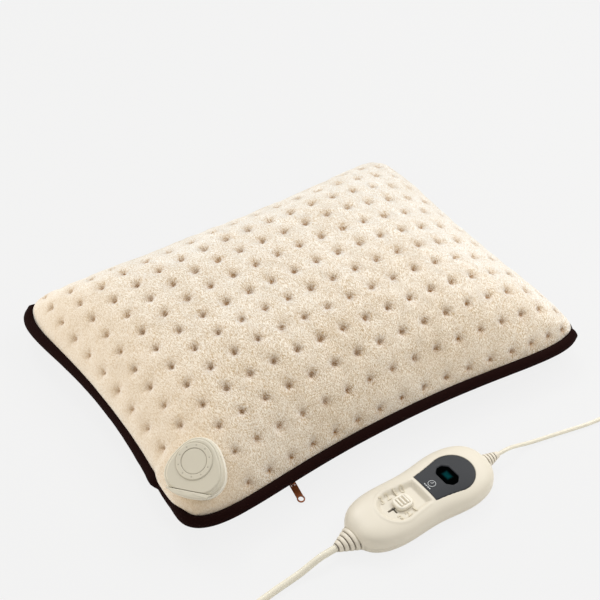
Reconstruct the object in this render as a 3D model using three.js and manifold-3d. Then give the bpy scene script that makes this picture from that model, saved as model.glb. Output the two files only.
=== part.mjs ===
// Heating cushion with a hand controller: a zipped, tufted fleece cover over a heated inner cushion,
// a connector socket near one corner, and a slide-switch controller between its two leads.
// Millimetres, +Z up. The origin is the centre of the cushion's underside, on the surface it lies on.

import * as THREE from 'three';
import { mergeVertices } from 'three/addons/utils/BufferGeometryUtils.js';
import Module from 'manifold-3d';

const wasm = await Module();
wasm.setup();

// Clearances shared by all pieces
const gap = 0.3;
const overrun = 2;

// Cushion outline: a rounded rectangle whose sides are drawn in by the filling
const coverWidth = 400;
const coverDepth = 310;
const cornerPower = 4.83;
const sideDrawShare = 0.173;
const frontDrawShare = 0.208;
const drawPower = 2.24;

// Crown: the rounding and the drawn-in sides hold at the seam and fade towards the middle
const rimPower = 4;
const cornerFade = 7.7;
const sideFade = 8;
const frontFade = 1.85;

// Cushion crown, seam and underside
const crownHeight = 80.5;
const seamHeight = 19.4;
const lengthPower = 3.57;
const lengthBluntness = 1.5;
const crossPower = 2.78;
const crossBluntness = 1.05;
const archBlend = 3.2;
const underPower = 3.65;
const underBluntness = 0.73;
const sagDepth = 30;
const pipingDiameter = 8.6;
const pipingPlay = 0.5;
const topPanelThickness = 6;
const basePanelThickness = 3;

// Tufts: an even quilted grid that stops short of the seam
const tuftColumns = 18;
const tuftRows = 13;
const tuftDepth = 2.5;
const quiltReachShares = [0.86, 0.912];
const quiltShiftShares = [0.012, -0.025];

// Grid lines of the smooth layers, as shares of the half width or half depth
const layerLineShares = [0, 0.26, 0.48, 0.67, 0.84, 1];
const baseLineShares = [0, 0.32, 0.6, 0.81, 0.94, 1];
const carrierReachShare = 0.7;

// Heating element
const wireDiameter = 2.4;
const wirePlay = 1;
const carrierThickness = 1.2;
const wireTurnShare = 0.6;
const wireReturnShare = 0.74;
const wireEndShare = 0.965;
const cutoutLength = 14;
const cutoutDiameter = 2.6;
const cutoutPlaceShare = layerLineShares[1];

// Zip, sewn under the piping of the front long side
const zipInset = 13;
const zipHeight = 10.1;
const zipTilt = THREE.MathUtils.degToRad(40.6);
const zipBowRadius = 614;
const zipStart = -105;
const zipEnd = 96;
const zipRestAt = -88;
const tapeWidth = 4;
const tapeThickness = 0.8;
const chainWidth = 3.4;
const chainThickness = 1.6;
const chainToothPitch = 8;
const chainNotchShare = 0.3;
const zipSlotDepth = 14;
const stopLength = 2.4;

// Zip slider, its bail, the link and the pull
const sliderLength = 9;
const sliderWidth = 7.4;
const sliderWall = 1.1;
const bailRise = 3.4;
const bailThickness = 1.1;
const bailLength = 6.4;
const linkWire = 0.9;
const linkBore = 2.4;
const linkReach = 4.8;
const linkSlope = THREE.MathUtils.degToRad(20);
const pullLength = 13.5;
const pullWidth = 4.6;
const pullEndRadius = 2.9;
const pullHoleRadius = 2;
const pullThickness = 1.1;
const pullEyeLength = 1.9;
const pullSlope = THREE.MathUtils.degToRad(11.5);
const pullTurn = THREE.MathUtils.degToRad(-14);

// Connector socket: a rounded three-lobed plate that lies on the cover near its front left corner
const socketInsetX = 46.5;
const socketInsetY = 53.7;
const socketZ = 41.6;
const socketNormalShares = [-0.426, -0.29, 0.844];
const socketCentreX = 2;
const socketCentreY = -2.5;
const socketRadius = 21.2;
const socketLobeShare = 0.07;
const socketLobeTurn = THREE.MathUtils.degToRad(45);
const socketSink = 2.2;
const socketBaseTop = 1.6;
const socketTop = 7.6;
const socketStep = 1;
const socketWall = 1.4;
const socketRoof = 1.6;
const socketNeckRadius = 8;
const socketNeckBore = 5;
const socketNeckLength = 3.3;
const mouthWidth = 12;
const mouthHeight = 3.4;
const mouthTurn = THREE.MathUtils.degToRad(225);
const latchPlace = 15.6;
const latchLip = 0.4;
const latchThickness = 1.8;
const latchTravel = 0.9;
const latchToothWidth = 4;
const latchToothDepth = 1.4;
const latchToothReach = 1.6;
const capRadius = 12.6;
const capInnerRadius = 8.9;
const capRise = 0.6;
const capSeat = 0.8;
const capGroove = 0.3;
const capX = 4.3;
const capY = 1.5;
const contactDiameter = 1.3;
const contactLength = 6;
const contactSpacing = 3.4;
const contactBlockDepth = 3;
const contactBlockWidth = 10.5;
const contactBlockPlace = 5;
const backplateRadius = 12.5;
const backplateThickness = 1.6;
const socketScrewRadius = 1.1;
const socketScrewHeadRadius = 2;
const socketScrewHeadHeight = 1;
const socketScrewSpread = 10.2;
const socketScrewGrip = 2.6;
const feedCableDiameter = 2.4;
const feedPlanShares = [[-0.1, -0.08], [0.08, 0.06], [0.36, 0.29], [0.72, 0.56]];
const feedSag = 1.2;

// Controller body: two shells split near mid height
const controllerX = -23.9;
const controllerY = -185.1;
const controllerHeading = THREE.MathUtils.degToRad(2.3);
const controllerHalfLength = 61.4;
const controllerHeight = 19.5;
const partingHeight = 8.2;
const controllerWall = 2;
const cavityEndWall = 5.4;
const waistHalf = 23;
const leftLobeHalf = 24.2;
const rightLobeHalf = 26.1;
const waistPlaceShare = -0.04;
const lobePlaceShare = 0.55;
const endShare = 0.985;
const endPower = 4.76;
const endRoundness = 2.03;
const endFallPower = 10;
const endFallRoundness = 2.4;
const sectionPower = 2.93;
const footCut = 0.6;
const faceOffset = -1.4;
const stationShares = [0.2, 0.4, 0.58, 0.74, 0.86, 0.94];

// Controller face: display panel, window, slider recess
const panelEdgeX = 3.3;
const panelEdgeHalf = 12.6;
const panelLobeX = 26.3;
const panelLobeRadius = 16.3;
const panelDepth = 3.2;
const faceFloorThickness = 1.7;
const windowX = 23.4;
const windowLength = 12;
const windowWidth = 19;
const windowChamfer = 3.8;
const windowDrop = 0.7;
const windowThickness = 1.6;
const recessEdgeX = 1.5;
const recessEdgeHalf = 11.8;
const recessLobeX = -21;
const recessLobeRadius = 14.6;
const recessDepth = 3.4;
const teardropBendShare = 0.5;
const teardropSwellShare = 0.3;
const teardropSweep = THREE.MathUtils.degToRad(96);

// Slider knob and its switch
const knobX = -16;
const knobLength = 15;
const knobWidth = 13.4;
const knobCorner = 5.6;
const knobHeight = 2.9;
const knobRibWidth = 1.2;
const knobRibLength = 8.6;
const knobRibHeight = 0.7;
const knobRibPitch = 3;
const knobRibs = 3;
const knobTravel = 8;
const stemLength = 3;
const stemWidth = 1.8;
const slotLead = 1.6;
const switchLength = 20;
const switchWidth = 8;
const switchDrop = 6.5;
const switchGrooveDepth = 3;
const stemEntry = 1.6;

// Controller inside
const boardEndPlay = 3.5;
const boardWidth = 32;
const boardThickness = 1.6;
const boardHeight = 5.4;
const boardRibThickness = 2;
const boardRibShare = 0.35;
const displayLength = 9;
const displayWidth = 12;
const displayDrop = 0.4;
const fuseRadius = 2;
const fuseLength = 14;
const fuseX = -30;
const fuseY = 11;
const powerSwitchLength = 9;
const powerSwitchWidth = 10;
const powerSwitchDrop = 8.2;
const powerSwitchX = 4;
const powerSwitchY = -9;
const postRadius = 4;
const postInset = 14.9;
const postY = 13.2;
const screwRadius = 1.2;
const screwHeadRadius = 2.6;
const screwHeadHeight = 1.8;
const screwLength = 12.5;
const screwRecess = 1.2;

// Ribbed strain reliefs, moulded on the leads
const bootAxisHeight = 7.6;
const bootSeat = 3.9;
const mainsBootRadius = 7.3;
const mainsBootTipRadius = 3.4;
const mainsBootLength = 21.4;
const mainsBootRibs = 6;
const padBootRadius = 6.2;
const padBootTipRadius = 2.4;
const padBootLength = 17.8;
const padBootRibs = 5;
const bootRibbedShare = 0.72;
const bootGrooveShare = 0.84;
const bootNeckRadius = 4;
const bootNeckLength = 2.4;
const bootFlangeRadius = 5.8;
const bootFlangeThickness = 2;
const bootSides = 10;
const cordBootSides = 8;

// Leads: diameters, turns and the coils that the spare length is wound into
const mainsDiameter = 5;
const mainsTurnPitch = 5.6;
const mainsCoilRadius = 27.5;
const mainsCoilX = -205;
const mainsCoilY = -236;
const mainsLayers = 4;
const mainsTurns = 9.5;
const padLeadDiameter = 3;
const padTurnPitch = 3.52;
const padCoilRadius = 16.5;
const padCoilX = 170;
const padCoilY = -213.5;
const padLayers = 2;
const padTurns = 5.25;
const coilStepsPerTurn = 20;
const coilSides = 6;
const coilEndShare = 1.16;
const tieThickness = 0.9;
const tieWidth = 4;
const tiePlay = 0.35;
const tieCorner = 1.6;
const leadFloorGap = 0.1;

// Mains plug: flat two-pin body
const plugLength = 35;
const plugWidth = 26;
const plugThickness = 13.6;
const plugTailShare = 0.42;
const plugSwellShare = 0.55;
const plugPower = 2.93;
const plugPinRadius = 2;
const plugPinLength = 19;
const plugPinSpacing = 18.6;
const plugBootLength = 24;
const plugBootRadius = 4.6;
const plugBootRibs = 4;
const plugHeading = THREE.MathUtils.degToRad(-10);

// Connector plug on the pad lead
const connectorLength = 22;
const connectorWidth = 20;
const connectorThickness = 8;
const connectorTailShare = 0.36;
const tongueLength = 8;
const tongueWidth = 11.2;
const tongueThickness = 2.6;
const connectorBootLength = 12;
const connectorBootRadius = 2.9;
const connectorBootRibs = 4;
const connectorHeading = THREE.MathUtils.degToRad(-90);

// Free routes of the leads, chosen by hand
const mainsRoute = [
  [-103.1, -188.3, 7.6], [-107.5, -188.5, 7.4], [-113, -188.8, 6.3], [-119, -189.2, 4.7],
  [-126, -189.7, 3.2], [-134, -190.4, 2.6], [-142.6, -191.4, 2.6], [-151, -192.6, 2.6],
  [-160, -194, 2.7], [-168, -195.9, 2.8], [-176, -198.2, 3], [-183.5, -200.2, 3.3],
  [-191, -201.4, 3.6], [-198.8, -201.7, 3.85],
];
const mainsTailRoute = [
  [-198.8, -270.3, 20.65], [-193.5, -270.5, 20.5], [-187, -271, 19.6], [-180.5, -271.7, 17.7],
  [-174, -272.6, 15], [-167.5, -273.8, 12.1], [-161, -275, 9], [-155, -276.1, 7.3],
  [-149.5, -277.1, 7],
];
const padRoute = [
  [51.7, -182.1, 7.6], [57, -181.9, 7.4], [62.5, -181.8, 6.4], [68.5, -181.9, 4.7],
  [75, -182.3, 3], [82, -183.1, 2], [91.5, -184.7, 1.6], [101, -186.5, 1.6],
  [111.5, -188.6, 1.6], [121.5, -190.6, 1.6], [131, -192, 1.6], [140, -192.8, 1.8],
  [149, -193, 2.1], [158, -192.7, 2.6], [166.1, -192.35, 2.85],
];
const padTailRoute = [
  [191.1, -217.4, 6.25], [191.15, -221, 6.1], [191.2, -225.5, 5.4], [191.2, -230, 4.7],
  [191.2, -234.5, 4.25], [191.2, -239, 4.1],
];

// Finishes
function finish(color, roughness, metalness) {
  return new THREE.MeshStandardMaterial({ color, roughness, metalness });
}
const fleece = finish(0xf0e2cb, 0.95, 0);
const fleeceBase = finish(0xe9dcc6, 0.95, 0);
const pipingCloth = finish(0x1e0a08, 0.85, 0);
const tapeCloth = finish(0x2a120d, 0.85, 0);
const zipMetal = finish(0x6b3516, 0.4, 0.8);
const lining = finish(0xf3f0ea, 0.95, 0);
const felt = finish(0xdad6cc, 0.95, 0);
const wireSleeve = finish(0xd8d2c4, 0.5, 0);
const cutoutShell = finish(0x8a8a86, 0.4, 0.6);
const socketPlastic = finish(0xd3cbb8, 0.5, 0);
const casePlastic = finish(0xe6dfcc, 0.35, 0);
const panelPlastic = finish(0x45474a, 0.4, 0);
const windowLens = finish(0x07090a, 0.1, 0);
const displayGlass = finish(0x0c4a4c, 0.2, 0);
const boardLaminate = finish(0x2c5b3a, 0.6, 0);
const partBlack = finish(0x1d1d1f, 0.5, 0);
const contactBrass = finish(0xc8a25a, 0.3, 0.9);
const screwSteel = finish(0x9a9a98, 0.35, 0.9);
const leadJacket = finish(0xe4decd, 0.5, 0);
const tieStrap = finish(0xe9e7df, 0.6, 0);

// Closed mesh from points and triangles, turned so that its faces point out
function closedGeometry(points, faces) {
  const corner = (i) => points[i];
  let volume = 0;
  for (let f = 0; f < faces.length; f += 3) {
    const [a, b, c] = [corner(faces[f]), corner(faces[f + 1]), corner(faces[f + 2])];
    volume += a.dot(new THREE.Vector3().crossVectors(b, c));
  }
  const index = volume < 0 ? faces.slice().reverse() : faces;
  const geometry = new THREE.BufferGeometry();
  const values = points.flatMap((p) => [p.x, p.y, p.z]);
  geometry.setAttribute('position', new THREE.Float32BufferAttribute(values, 3));
  geometry.setIndex(index);
  return geometry;
}

// Skin through rings of points, capped at both ends unless it runs round on itself
function loft(rings, endless = false) {
  const count = rings[0].length;
  const faces = [];
  const spans = endless ? rings.length : rings.length - 1;
  for (let i = 0; i < spans; i += 1) {
    const a = i * count;
    const b = ((i + 1) % rings.length) * count;
    for (let j = 0; j < count; j += 1) {
      const k = (j + 1) % count;
      faces.push(a + j, a + k, b + k, a + j, b + k, b + j);
    }
  }
  const last = (rings.length - 1) * count;
  for (let j = 1; !endless && j < count - 1; j += 1) {
    faces.push(0, j + 1, j, last, last + j, last + j + 1);
  }
  return closedGeometry(rings.flat(), faces);
}

// Tube through points whose rings stay upright
function tube(points, radius, sides, endless = false) {
  const count = points.length;
  const rings = points.map((point, i) => {
    const before = points[endless ? (i + count - 1) % count : Math.max(i - 1, 0)];
    const after = points[endless ? (i + 1) % count : Math.min(i + 1, count - 1)];
    const along = after.clone().sub(before).normalize();
    const side = new THREE.Vector3(-along.y, along.x, 0).normalize();
    const rise = new THREE.Vector3().crossVectors(along, side);
    return Array.from({ length: sides }, (_, j) => {
      const angle = 2 * Math.PI * (j + 0.5) / sides;
      return point.clone()
        .addScaledVector(side, radius * Math.cos(angle))
        .addScaledVector(rise, radius * Math.sin(angle));
    });
  });
  return loft(rings, endless);
}

// Merged copy of a mesh without its flat triangles
function weld(geometry) {
  const bare = geometry.clone();
  bare.deleteAttribute('normal');
  bare.deleteAttribute('uv');
  const merged = mergeVertices(bare);
  const index = merged.index.array;
  const kept = [];
  for (let f = 0; f < index.length; f += 3) {
    const [a, b, c] = [index[f], index[f + 1], index[f + 2]];
    if (a !== b && b !== c && c !== a) kept.push(a, b, c);
  }
  merged.setIndex(kept);
  return merged;
}

function toSolid(geometry) {
  const merged = weld(geometry);
  return new wasm.Manifold(new wasm.Mesh({
    numProp: 3,
    vertProperties: merged.attributes.position.array,
    triVerts: new Uint32Array(merged.index.array),
  }));
}

function toGeometry(solid) {
  const { vertProperties, triVerts, numProp } = solid.getMesh();
  const positions = new Float32Array(vertProperties.length / numProp * 3);
  for (let v = 0; v < positions.length / 3; v += 1) {
    positions.set(vertProperties.subarray(v * numProp, v * numProp + 3), v * 3);
  }
  const geometry = new THREE.BufferGeometry();
  geometry.setAttribute('position', new THREE.BufferAttribute(positions, 3));
  geometry.setIndex(Array.from(triVerts));
  return geometry;
}

function cutAway(geometry, cutters) {
  return toGeometry(cutters.reduce((solid, cutter) => solid.subtract(toSolid(cutter)), toSolid(geometry)));
}

function joinAll(geometries) {
  const [first, ...rest] = geometries.map(toSolid);
  return toGeometry(rest.reduce((solid, piece) => solid.add(piece), first));
}

function piece(name, geometry, material) {
  const mesh = new THREE.Mesh(geometry, material);
  mesh.name = name;
  return mesh;
}

// Basic cutters and solids
function block(x0, x1, y0, y1, z0, z1) {
  return new THREE.BoxGeometry(x1 - x0, y1 - y0, z1 - z0)
    .translate((x0 + x1) / 2, (y0 + y1) / 2, (z0 + z1) / 2);
}

function rod(radius, z0, z1, sides) {
  return new THREE.CylinderGeometry(radius, radius, z1 - z0, sides)
    .rotateX(Math.PI / 2)
    .translate(0, 0, (z0 + z1) / 2);
}

function rodAlongX(radius, x0, x1, sides) {
  return rod(radius, x0, x1, sides).rotateY(Math.PI / 2);
}

function prism(shape, z0, z1, curveSegments = 8) {
  return new THREE.ExtrudeGeometry(shape, { depth: z1 - z0, bevelEnabled: false, curveSegments })
    .translate(0, 0, z0);
}

// Cushion layers

const crownFade = { corner: cornerFade, side: sideFade, front: frontFade };
const noFade = { corner: 0, side: 0, front: 0 };

// Place on the cushion's plan for u and v from -1 to 1, drawn in by an inset from the seam line
function padPlan(u, v, inset, fade = noFade) {
  const ring = Math.max(Math.abs(u), Math.abs(v));
  const round = (Math.abs(u) ** cornerPower + Math.abs(v) ** cornerPower) ** (1 / cornerPower);
  const toRim = ((1 - Math.abs(u)) ** -rimPower + (1 - Math.abs(v)) ** -rimPower) ** (-1 / rimPower);
  const held = (power) => (1 - toRim) ** power;
  const rounding = ring > 0 ? 1 - (1 - ring / round) * held(fade.corner) : 1;
  const [x, y] = [u * rounding, v * rounding];
  const sideDraw = sideDrawShare * held(fade.side);
  const frontDraw = frontDrawShare * held(fade.front);
  const seamX = coverWidth / 2 * x * (1 - sideDraw * (1 - Math.abs(y) ** drawPower));
  const seamY = coverDepth / 2 * y * (1 - frontDraw * (1 - Math.abs(x) ** drawPower));
  return [
    seamX * (1 - inset / (coverWidth / 2 * (1 - sideDrawShare))),
    seamY * (1 - inset / (coverDepth / 2 * (1 - frontDrawShare))),
  ];
}

function arch(share, power, bluntness) {
  return (1 - Math.abs(share) ** power) ** bluntness;
}

// Rise of the crown from 0 at the seam to 1 in the middle: the lower of two arches, blended
function crownRise(u, v) {
  const along = arch(u, lengthPower, lengthBluntness);
  const across = arch(v, crossPower, crossBluntness);
  return (along ** -archBlend + across ** -archBlend - 1) ** (-1 / archBlend);
}

function underDrop(u, v) {
  return arch(u, underPower, underBluntness) * arch(v, underPower, underBluntness);
}

const panelInset = pipingDiameter / 2 + pipingPlay;

// Point of the crown at a depth below the cover's outer face
function crownPoint(u, v, depth) {
  const [x, y] = padPlan(u, v, panelInset + depth, crownFade);
  const edge = seamHeight + gap / 2;
  return new THREE.Vector3(x, y, edge + (crownHeight - depth - edge) * crownRise(u, v));
}

// Point of the underside at a depth above the cover's outer face; it is flat where it rests
function basePoint(u, v, depth, inset = depth) {
  const [x, y] = padPlan(u, v, panelInset + inset);
  const edge = seamHeight - gap / 2;
  return new THREE.Vector3(x, y, Math.max(depth, edge - (sagDepth - depth) * underDrop(u, v)));
}

function mirrored(shares) {
  return [...shares.slice(1).reverse().map((share) => -share), ...shares];
}

// A sheet of points on grid lines, folded along its ridges, with its rim listed in one turn
function sheet(us, vs, pointAt) {
  const points = vs.flatMap((v, j) => us.map((u, i) => pointAt(u, v, i, j)));
  const at = (i, j) => j * us.length + i;
  const faces = [];
  for (let j = 0; j < vs.length - 1; j += 1) {
    for (let i = 0; i < us.length - 1; i += 1) {
      const [a, b, c, d] = [at(i, j), at(i + 1, j), at(i + 1, j + 1), at(i, j + 1)];
      const rising = (us[i] + us[i + 1]) * (vs[j] + vs[j + 1]) > 0;
      faces.push(...(rising ? [a, b, c, a, c, d] : [a, b, d, b, c, d]));
    }
  }
  const [lastI, lastJ] = [us.length - 1, vs.length - 1];
  const span = (lines, k) => (lines[k] - lines[0]) / (lines[lines.length - 1] - lines[0]);
  const rim = [];
  for (let i = 0; i < lastI; i += 1) rim.push({ index: at(i, 0), turn: span(us, i) });
  for (let j = 0; j < lastJ; j += 1) rim.push({ index: at(lastI, j), turn: 1 + span(vs, j) });
  for (let i = lastI; i > 0; i -= 1) rim.push({ index: at(i, lastJ), turn: 3 - span(us, i) });
  for (let j = lastJ; j > 0; j -= 1) rim.push({ index: at(0, j), turn: 4 - span(vs, j) });
  return { points, faces, rim };
}

// Closed body between an upper and a lower sheet whose rims run side by side
function bodyBetween(upper, lower) {
  const shift = upper.points.length;
  const faces = [...upper.faces];
  for (let f = 0; f < lower.faces.length; f += 3) {
    faces.push(lower.faces[f] + shift, lower.faces[f + 2] + shift, lower.faces[f + 1] + shift);
  }
  const sides = 4;
  const close = (rim) => [...rim, { index: rim[0].index, turn: sides }];
  const [over, under] = [close(upper.rim), close(lower.rim)];
  let [a, b] = [0, 0];
  while (a < over.length - 1 || b < under.length - 1) {
    const stepOver = b === under.length - 1
      || (a < over.length - 1 && over[a + 1].turn <= under[b + 1].turn);
    if (stepOver) {
      faces.push(over[a].index, under[b].index + shift, over[a + 1].index);
      a += 1;
    } else {
      faces.push(over[a].index, under[b].index + shift, under[b + 1].index + shift);
      b += 1;
    }
  }
  return closedGeometry([...upper.points, ...lower.points], faces);
}

const layerLines = mirrored(layerLineShares);
const baseLines = mirrored(baseLineShares);
const carrierLines = layerLines.filter((line) => Math.abs(line) <= carrierReachShare);

function steps(count, placeAt) {
  return Array.from({ length: 2 * count + 1 }, (_, k) => placeAt(k - count));
}

// Grid lines at and half way between the tufts, and the rim's lines at both ends
function quiltLines(count, side) {
  const inner = (k) => quiltShiftShares[side] + quiltReachShares[side] * k / (count - 1);
  return steps(count, (k) => (Math.abs(k) === count ? Math.sign(k) : inner(k)));
}

const tuftUs = quiltLines(tuftColumns, 0);
const tuftVs = quiltLines(tuftRows, 1);

// Tufts sit where both grid lines are odd, so that none falls on the rim
function tuftedPoint(u, v, i, j) {
  return crownPoint(u, v, i % 2 === 1 && j % 2 === 1 ? tuftDepth : 0);
}

const carrierTopDepth = topPanelThickness + wireDiameter + 2 * wirePlay;
const cushionDepth = carrierTopDepth + carrierThickness + 2 * gap;

function crownSheet(lines, depth) {
  return sheet(lines, lines, (u, v) => crownPoint(u, v, depth));
}

function coverTop() {
  const outer = sheet(tuftUs, tuftVs, tuftedPoint);
  const panel = bodyBetween(outer, crownSheet(layerLines, topPanelThickness));
  return cutAway(panel, socketCutters());
}

function coverBottom() {
  const inner = sheet(baseLines, baseLines, (u, v) => basePoint(u, v, basePanelThickness));
  const outer = sheet(baseLines, baseLines, (u, v) => basePoint(u, v, 0));
  return cutAway(bodyBetween(inner, outer), [zipSlot()]);
}

function innerCushion() {
  const lift = basePanelThickness + gap;
  const edge = 2 * carrierThickness;
  const top = sheet(layerLines, layerLines, (u, v) => crownPoint(u, v, cushionDepth));
  const base = sheet(baseLines, baseLines, (u, v) => {
    const point = basePoint(u, v, lift, cushionDepth);
    point.z = Math.min(point.z, seamHeight - edge);
    return point;
  });
  return cutAway(bodyBetween(top, base), [backplateRoom()]);
}

function heatingCarrier() {
  return bodyBetween(
    crownSheet(carrierLines, carrierTopDepth),
    crownSheet(carrierLines, carrierTopDepth + carrierThickness),
  );
}

// Point on the flat facets between the layers' grid lines, found in one quarter and mirrored
function facetPoint(u, v, depth) {
  const cell = (share) => {
    const high = layerLineShares.findIndex((line) => line > Math.abs(share));
    const [low, top] = [layerLineShares[high - 1], layerLineShares[high]];
    return [low, top, (Math.abs(share) - low) / (top - low)];
  };
  const [u0, u1, tu] = cell(u);
  const [v0, v1, tv] = cell(v);
  const [start, corner] = [crownPoint(u0, v0, depth), crownPoint(u1, v1, depth)];
  const turn = tu > tv ? crownPoint(u1, v0, depth) : crownPoint(u0, v1, depth);
  const [first, second] = tu > tv ? [tu, tv] : [tv, tu];
  const point = start.clone()
    .addScaledVector(turn.clone().sub(start), first)
    .addScaledVector(corner.sub(turn), second);
  point.x *= Math.sign(u) || 1;
  point.y *= Math.sign(v) || 1;
  return point;
}

const wireDepth = topPanelThickness + wirePlay + wireDiameter / 2;
const wireBands = carrierLines.slice(0, -1).map((line, k) => (line + carrierLines[k + 1]) / 2);
const wireLaneShare = (wireReturnShare + wireTurnShare) / 2;

// Heating wire: one run along each band of the carrier, and a return down its left side
function heatingWire() {
  const lines = layerLines.filter((line) => Math.abs(line) < wireTurnShare);
  const inner = lines.flatMap((line, k) => (k > 0 ? [(lines[k - 1] + line) / 2, line] : [line]));
  const entry = [-wireLaneShare, (inner[0] - wireLaneShare) / 2];
  const route = entry.map((u) => facetPoint(u, wireBands[0], wireDepth));
  wireBands.forEach((v, k) => {
    const run = k % 2 === 0 ? inner : inner.slice().reverse();
    run.forEach((u) => route.push(facetPoint(u, v, wireDepth)));
    if (k < wireBands.length - 1) turnRound(route, k % 2 === 0 ? 1 : -1, v, wireBands[k + 1]);
  });
  const topV = wireBands[wireBands.length - 1];
  const shoulderV = topV - (topV - wireBands[wireBands.length - 2]) / 3;
  route.push(facetPoint(-wireTurnShare, topV, wireDepth), facetPoint(-wireLaneShare, shoulderV, wireDepth));
  wireBands.slice(1, -1).reverse().forEach((v) => route.push(facetPoint(-wireReturnShare, v, wireDepth)));
  route.push(facetPoint(-wireReturnShare, wireBands[0] * wireEndShare, wireDepth));
  return tube(route, wireDiameter / 2, 5);
}

// Half circle from one run to the next, bulging towards the short side
function turnRound(route, sign, fromV, toV) {
  const half = (toV - fromV) / 2;
  const reach = half * coverDepth / coverWidth;
  const quarters = 3;
  for (let q = 0; q <= quarters; q += 1) {
    const angle = Math.PI * q / quarters;
    const u = sign * (wireTurnShare - reach / 2 + reach * Math.sin(angle));
    route.push(facetPoint(u, fromV + half * (1 - Math.cos(angle)), wireDepth));
  }
}

function thermalCutout(sign) {
  const place = facetPoint(sign * cutoutPlaceShare, 0, carrierTopDepth - gap - cutoutDiameter / 2);
  return rodAlongX(cutoutDiameter / 2, -cutoutLength / 2, cutoutLength / 2, 8)
    .translate(place.x, place.y, place.z);
}

// Piping: a round cord that follows the seam line all the way round
function piping() {
  const side = 14;
  const shares = Array.from({ length: side }, (_, k) => Math.tan(Math.PI / 4 * (2 * k / side - 1)));
  const loop = [
    ...shares.map((s) => padPlan(s, -1, 0)),
    ...shares.map((s) => padPlan(1, s, 0)),
    ...shares.map((s) => padPlan(-s, 1, 0)),
    ...shares.map((s) => padPlan(-1, -s, 0)),
  ];
  const points = loop.map(([x, y]) => new THREE.Vector3(x, y, seamHeight));
  return tube(points, pipingDiameter / 2, 8, true);
}

function cushion() {
  const group = new THREE.Group();
  group.add(piece('cover_top', coverTop(), fleece));
  group.add(piece('cover_bottom', coverBottom(), fleeceBase));
  group.add(piece('piping', piping(), pipingCloth));
  group.add(piece('inner_cushion', innerCushion(), lining));
  group.add(piece('heating_carrier', heatingCarrier(), felt));
  group.add(piece('heating_wire', heatingWire(), wireSleeve));
  group.add(piece('thermal_cutout_1', thermalCutout(-1), cutoutShell));
  group.add(piece('thermal_cutout_2', thermalCutout(1), cutoutShell));
  return group;
}

// Zip

// The zip follows the drawn-in front side as an arc about a far centre in front of it
const frontSeamY = -coverDepth / 2 * (1 - frontDrawShare);
const zipCentreY = frontSeamY - zipBowRadius;
const zipRadius = zipBowRadius + zipInset;

// Frame on the zip at a distance along X: across runs up the slope, out points away from the cushion
function zipFrame(x) {
  const turn = Math.asin(x / zipRadius);
  const frame = new THREE.Matrix4().makeRotationZ(-turn);
  frame.multiply(new THREE.Matrix4().makeTranslation(0, zipRadius, 0));
  frame.multiply(new THREE.Matrix4().makeRotationX(Math.PI - zipTilt));
  frame.premultiply(new THREE.Matrix4().makeTranslation(0, zipCentreY, zipHeight));
  return frame;
}

// Strip of rectangular section along the zip; across and out are ranges in the zip's own frame
function zipStrip(x0, x1, across0, across1, out0, out1, count, notch = null) {
  const rings = Array.from({ length: count + 1 }, (_, k) => {
    const x = x0 + (x1 - x0) * k / count;
    const drawn = notch ? notch(k) : 0;
    const frame = zipFrame(x);
    return [
      [across0 + drawn, out0], [across1 - drawn, out0], [across1 - drawn, out1], [across0 + drawn, out1],
    ].map(([across, out]) => new THREE.Vector3(0, across, out).applyMatrix4(frame));
  });
  return loft(rings);
}

function zipSlot() {
  const half = chainWidth / 2 + gap + tapeWidth + gap;
  const endPlay = stopLength + 2 * gap;
  return zipStrip(zipStart - endPlay, zipEnd + endPlay, -half, half, -zipSlotDepth, zipSlotDepth, 10);
}

function zipChain() {
  const teeth = Math.round((zipEnd - zipStart) / chainToothPitch);
  const notch = (k) => (k % 2 === 0 ? 0 : chainWidth * chainNotchShare / 2);
  return zipStrip(zipStart, zipEnd, -chainWidth / 2, chainWidth / 2, 0, chainThickness, 2 * teeth, notch);
}

function zipTape(sign) {
  const inner = chainWidth / 2 + gap;
  const [low, high] = sign > 0 ? [inner, inner + tapeWidth] : [-inner - tapeWidth, -inner];
  return zipStrip(zipStart, zipEnd, low, high, 0, tapeThickness, 12);
}

function zipStop(x0, x1) {
  const half = chainWidth / 2 + gap + tapeWidth / 2;
  return zipStrip(x0, x1, -half, half, -tapeThickness, chainThickness, 1);
}

// Slider: a wing over the chain with cheeks at its sides, and a bail for the link
const wingBottom = chainThickness + gap;
const wingTop = wingBottom + sliderWall;
const bailAxis = wingTop + bailRise - bailThickness / 2;

function zipSlider() {
  const half = sliderLength / 2;
  const side = sliderWidth / 2;
  const cheekOut = chainWidth / 2 + gap;
  const bailHalf = bailLength / 2;
  const rail = bailThickness / 2;
  return joinAll([
    block(-half, half, -side, side, wingBottom, wingTop),
    block(-half, half, cheekOut, side, tapeThickness + gap, wingTop),
    block(-half, half, -side, -cheekOut, tapeThickness + gap, wingTop),
    block(-bailHalf, bailHalf, -rail, rail, bailAxis - rail, bailAxis + rail),
    block(-bailHalf, bailThickness - bailHalf, -rail, rail, wingBottom, bailAxis),
    block(bailHalf - bailThickness, bailHalf, -rail, rail, wingBottom, bailAxis),
  ]);
}

const linkStart = -bailThickness * Math.SQRT1_2 - gap;

// Link: an upright wire loop round the bail and the end bar of the pull
function pullLink() {
  const outline = new THREE.Shape();
  roundedRectangle(outline, linkStart - linkWire, linkStart + linkReach + linkWire, linkBore + 2 * linkWire,
    linkBore / 2);
  const hole = new THREE.Path();
  roundedRectangle(hole, linkStart, linkStart + linkReach, linkBore, gap);
  outline.holes.push(hole);
  return prism(outline, -linkWire / 2, linkWire / 2, 2).rotateX(Math.PI / 2);
}

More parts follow.
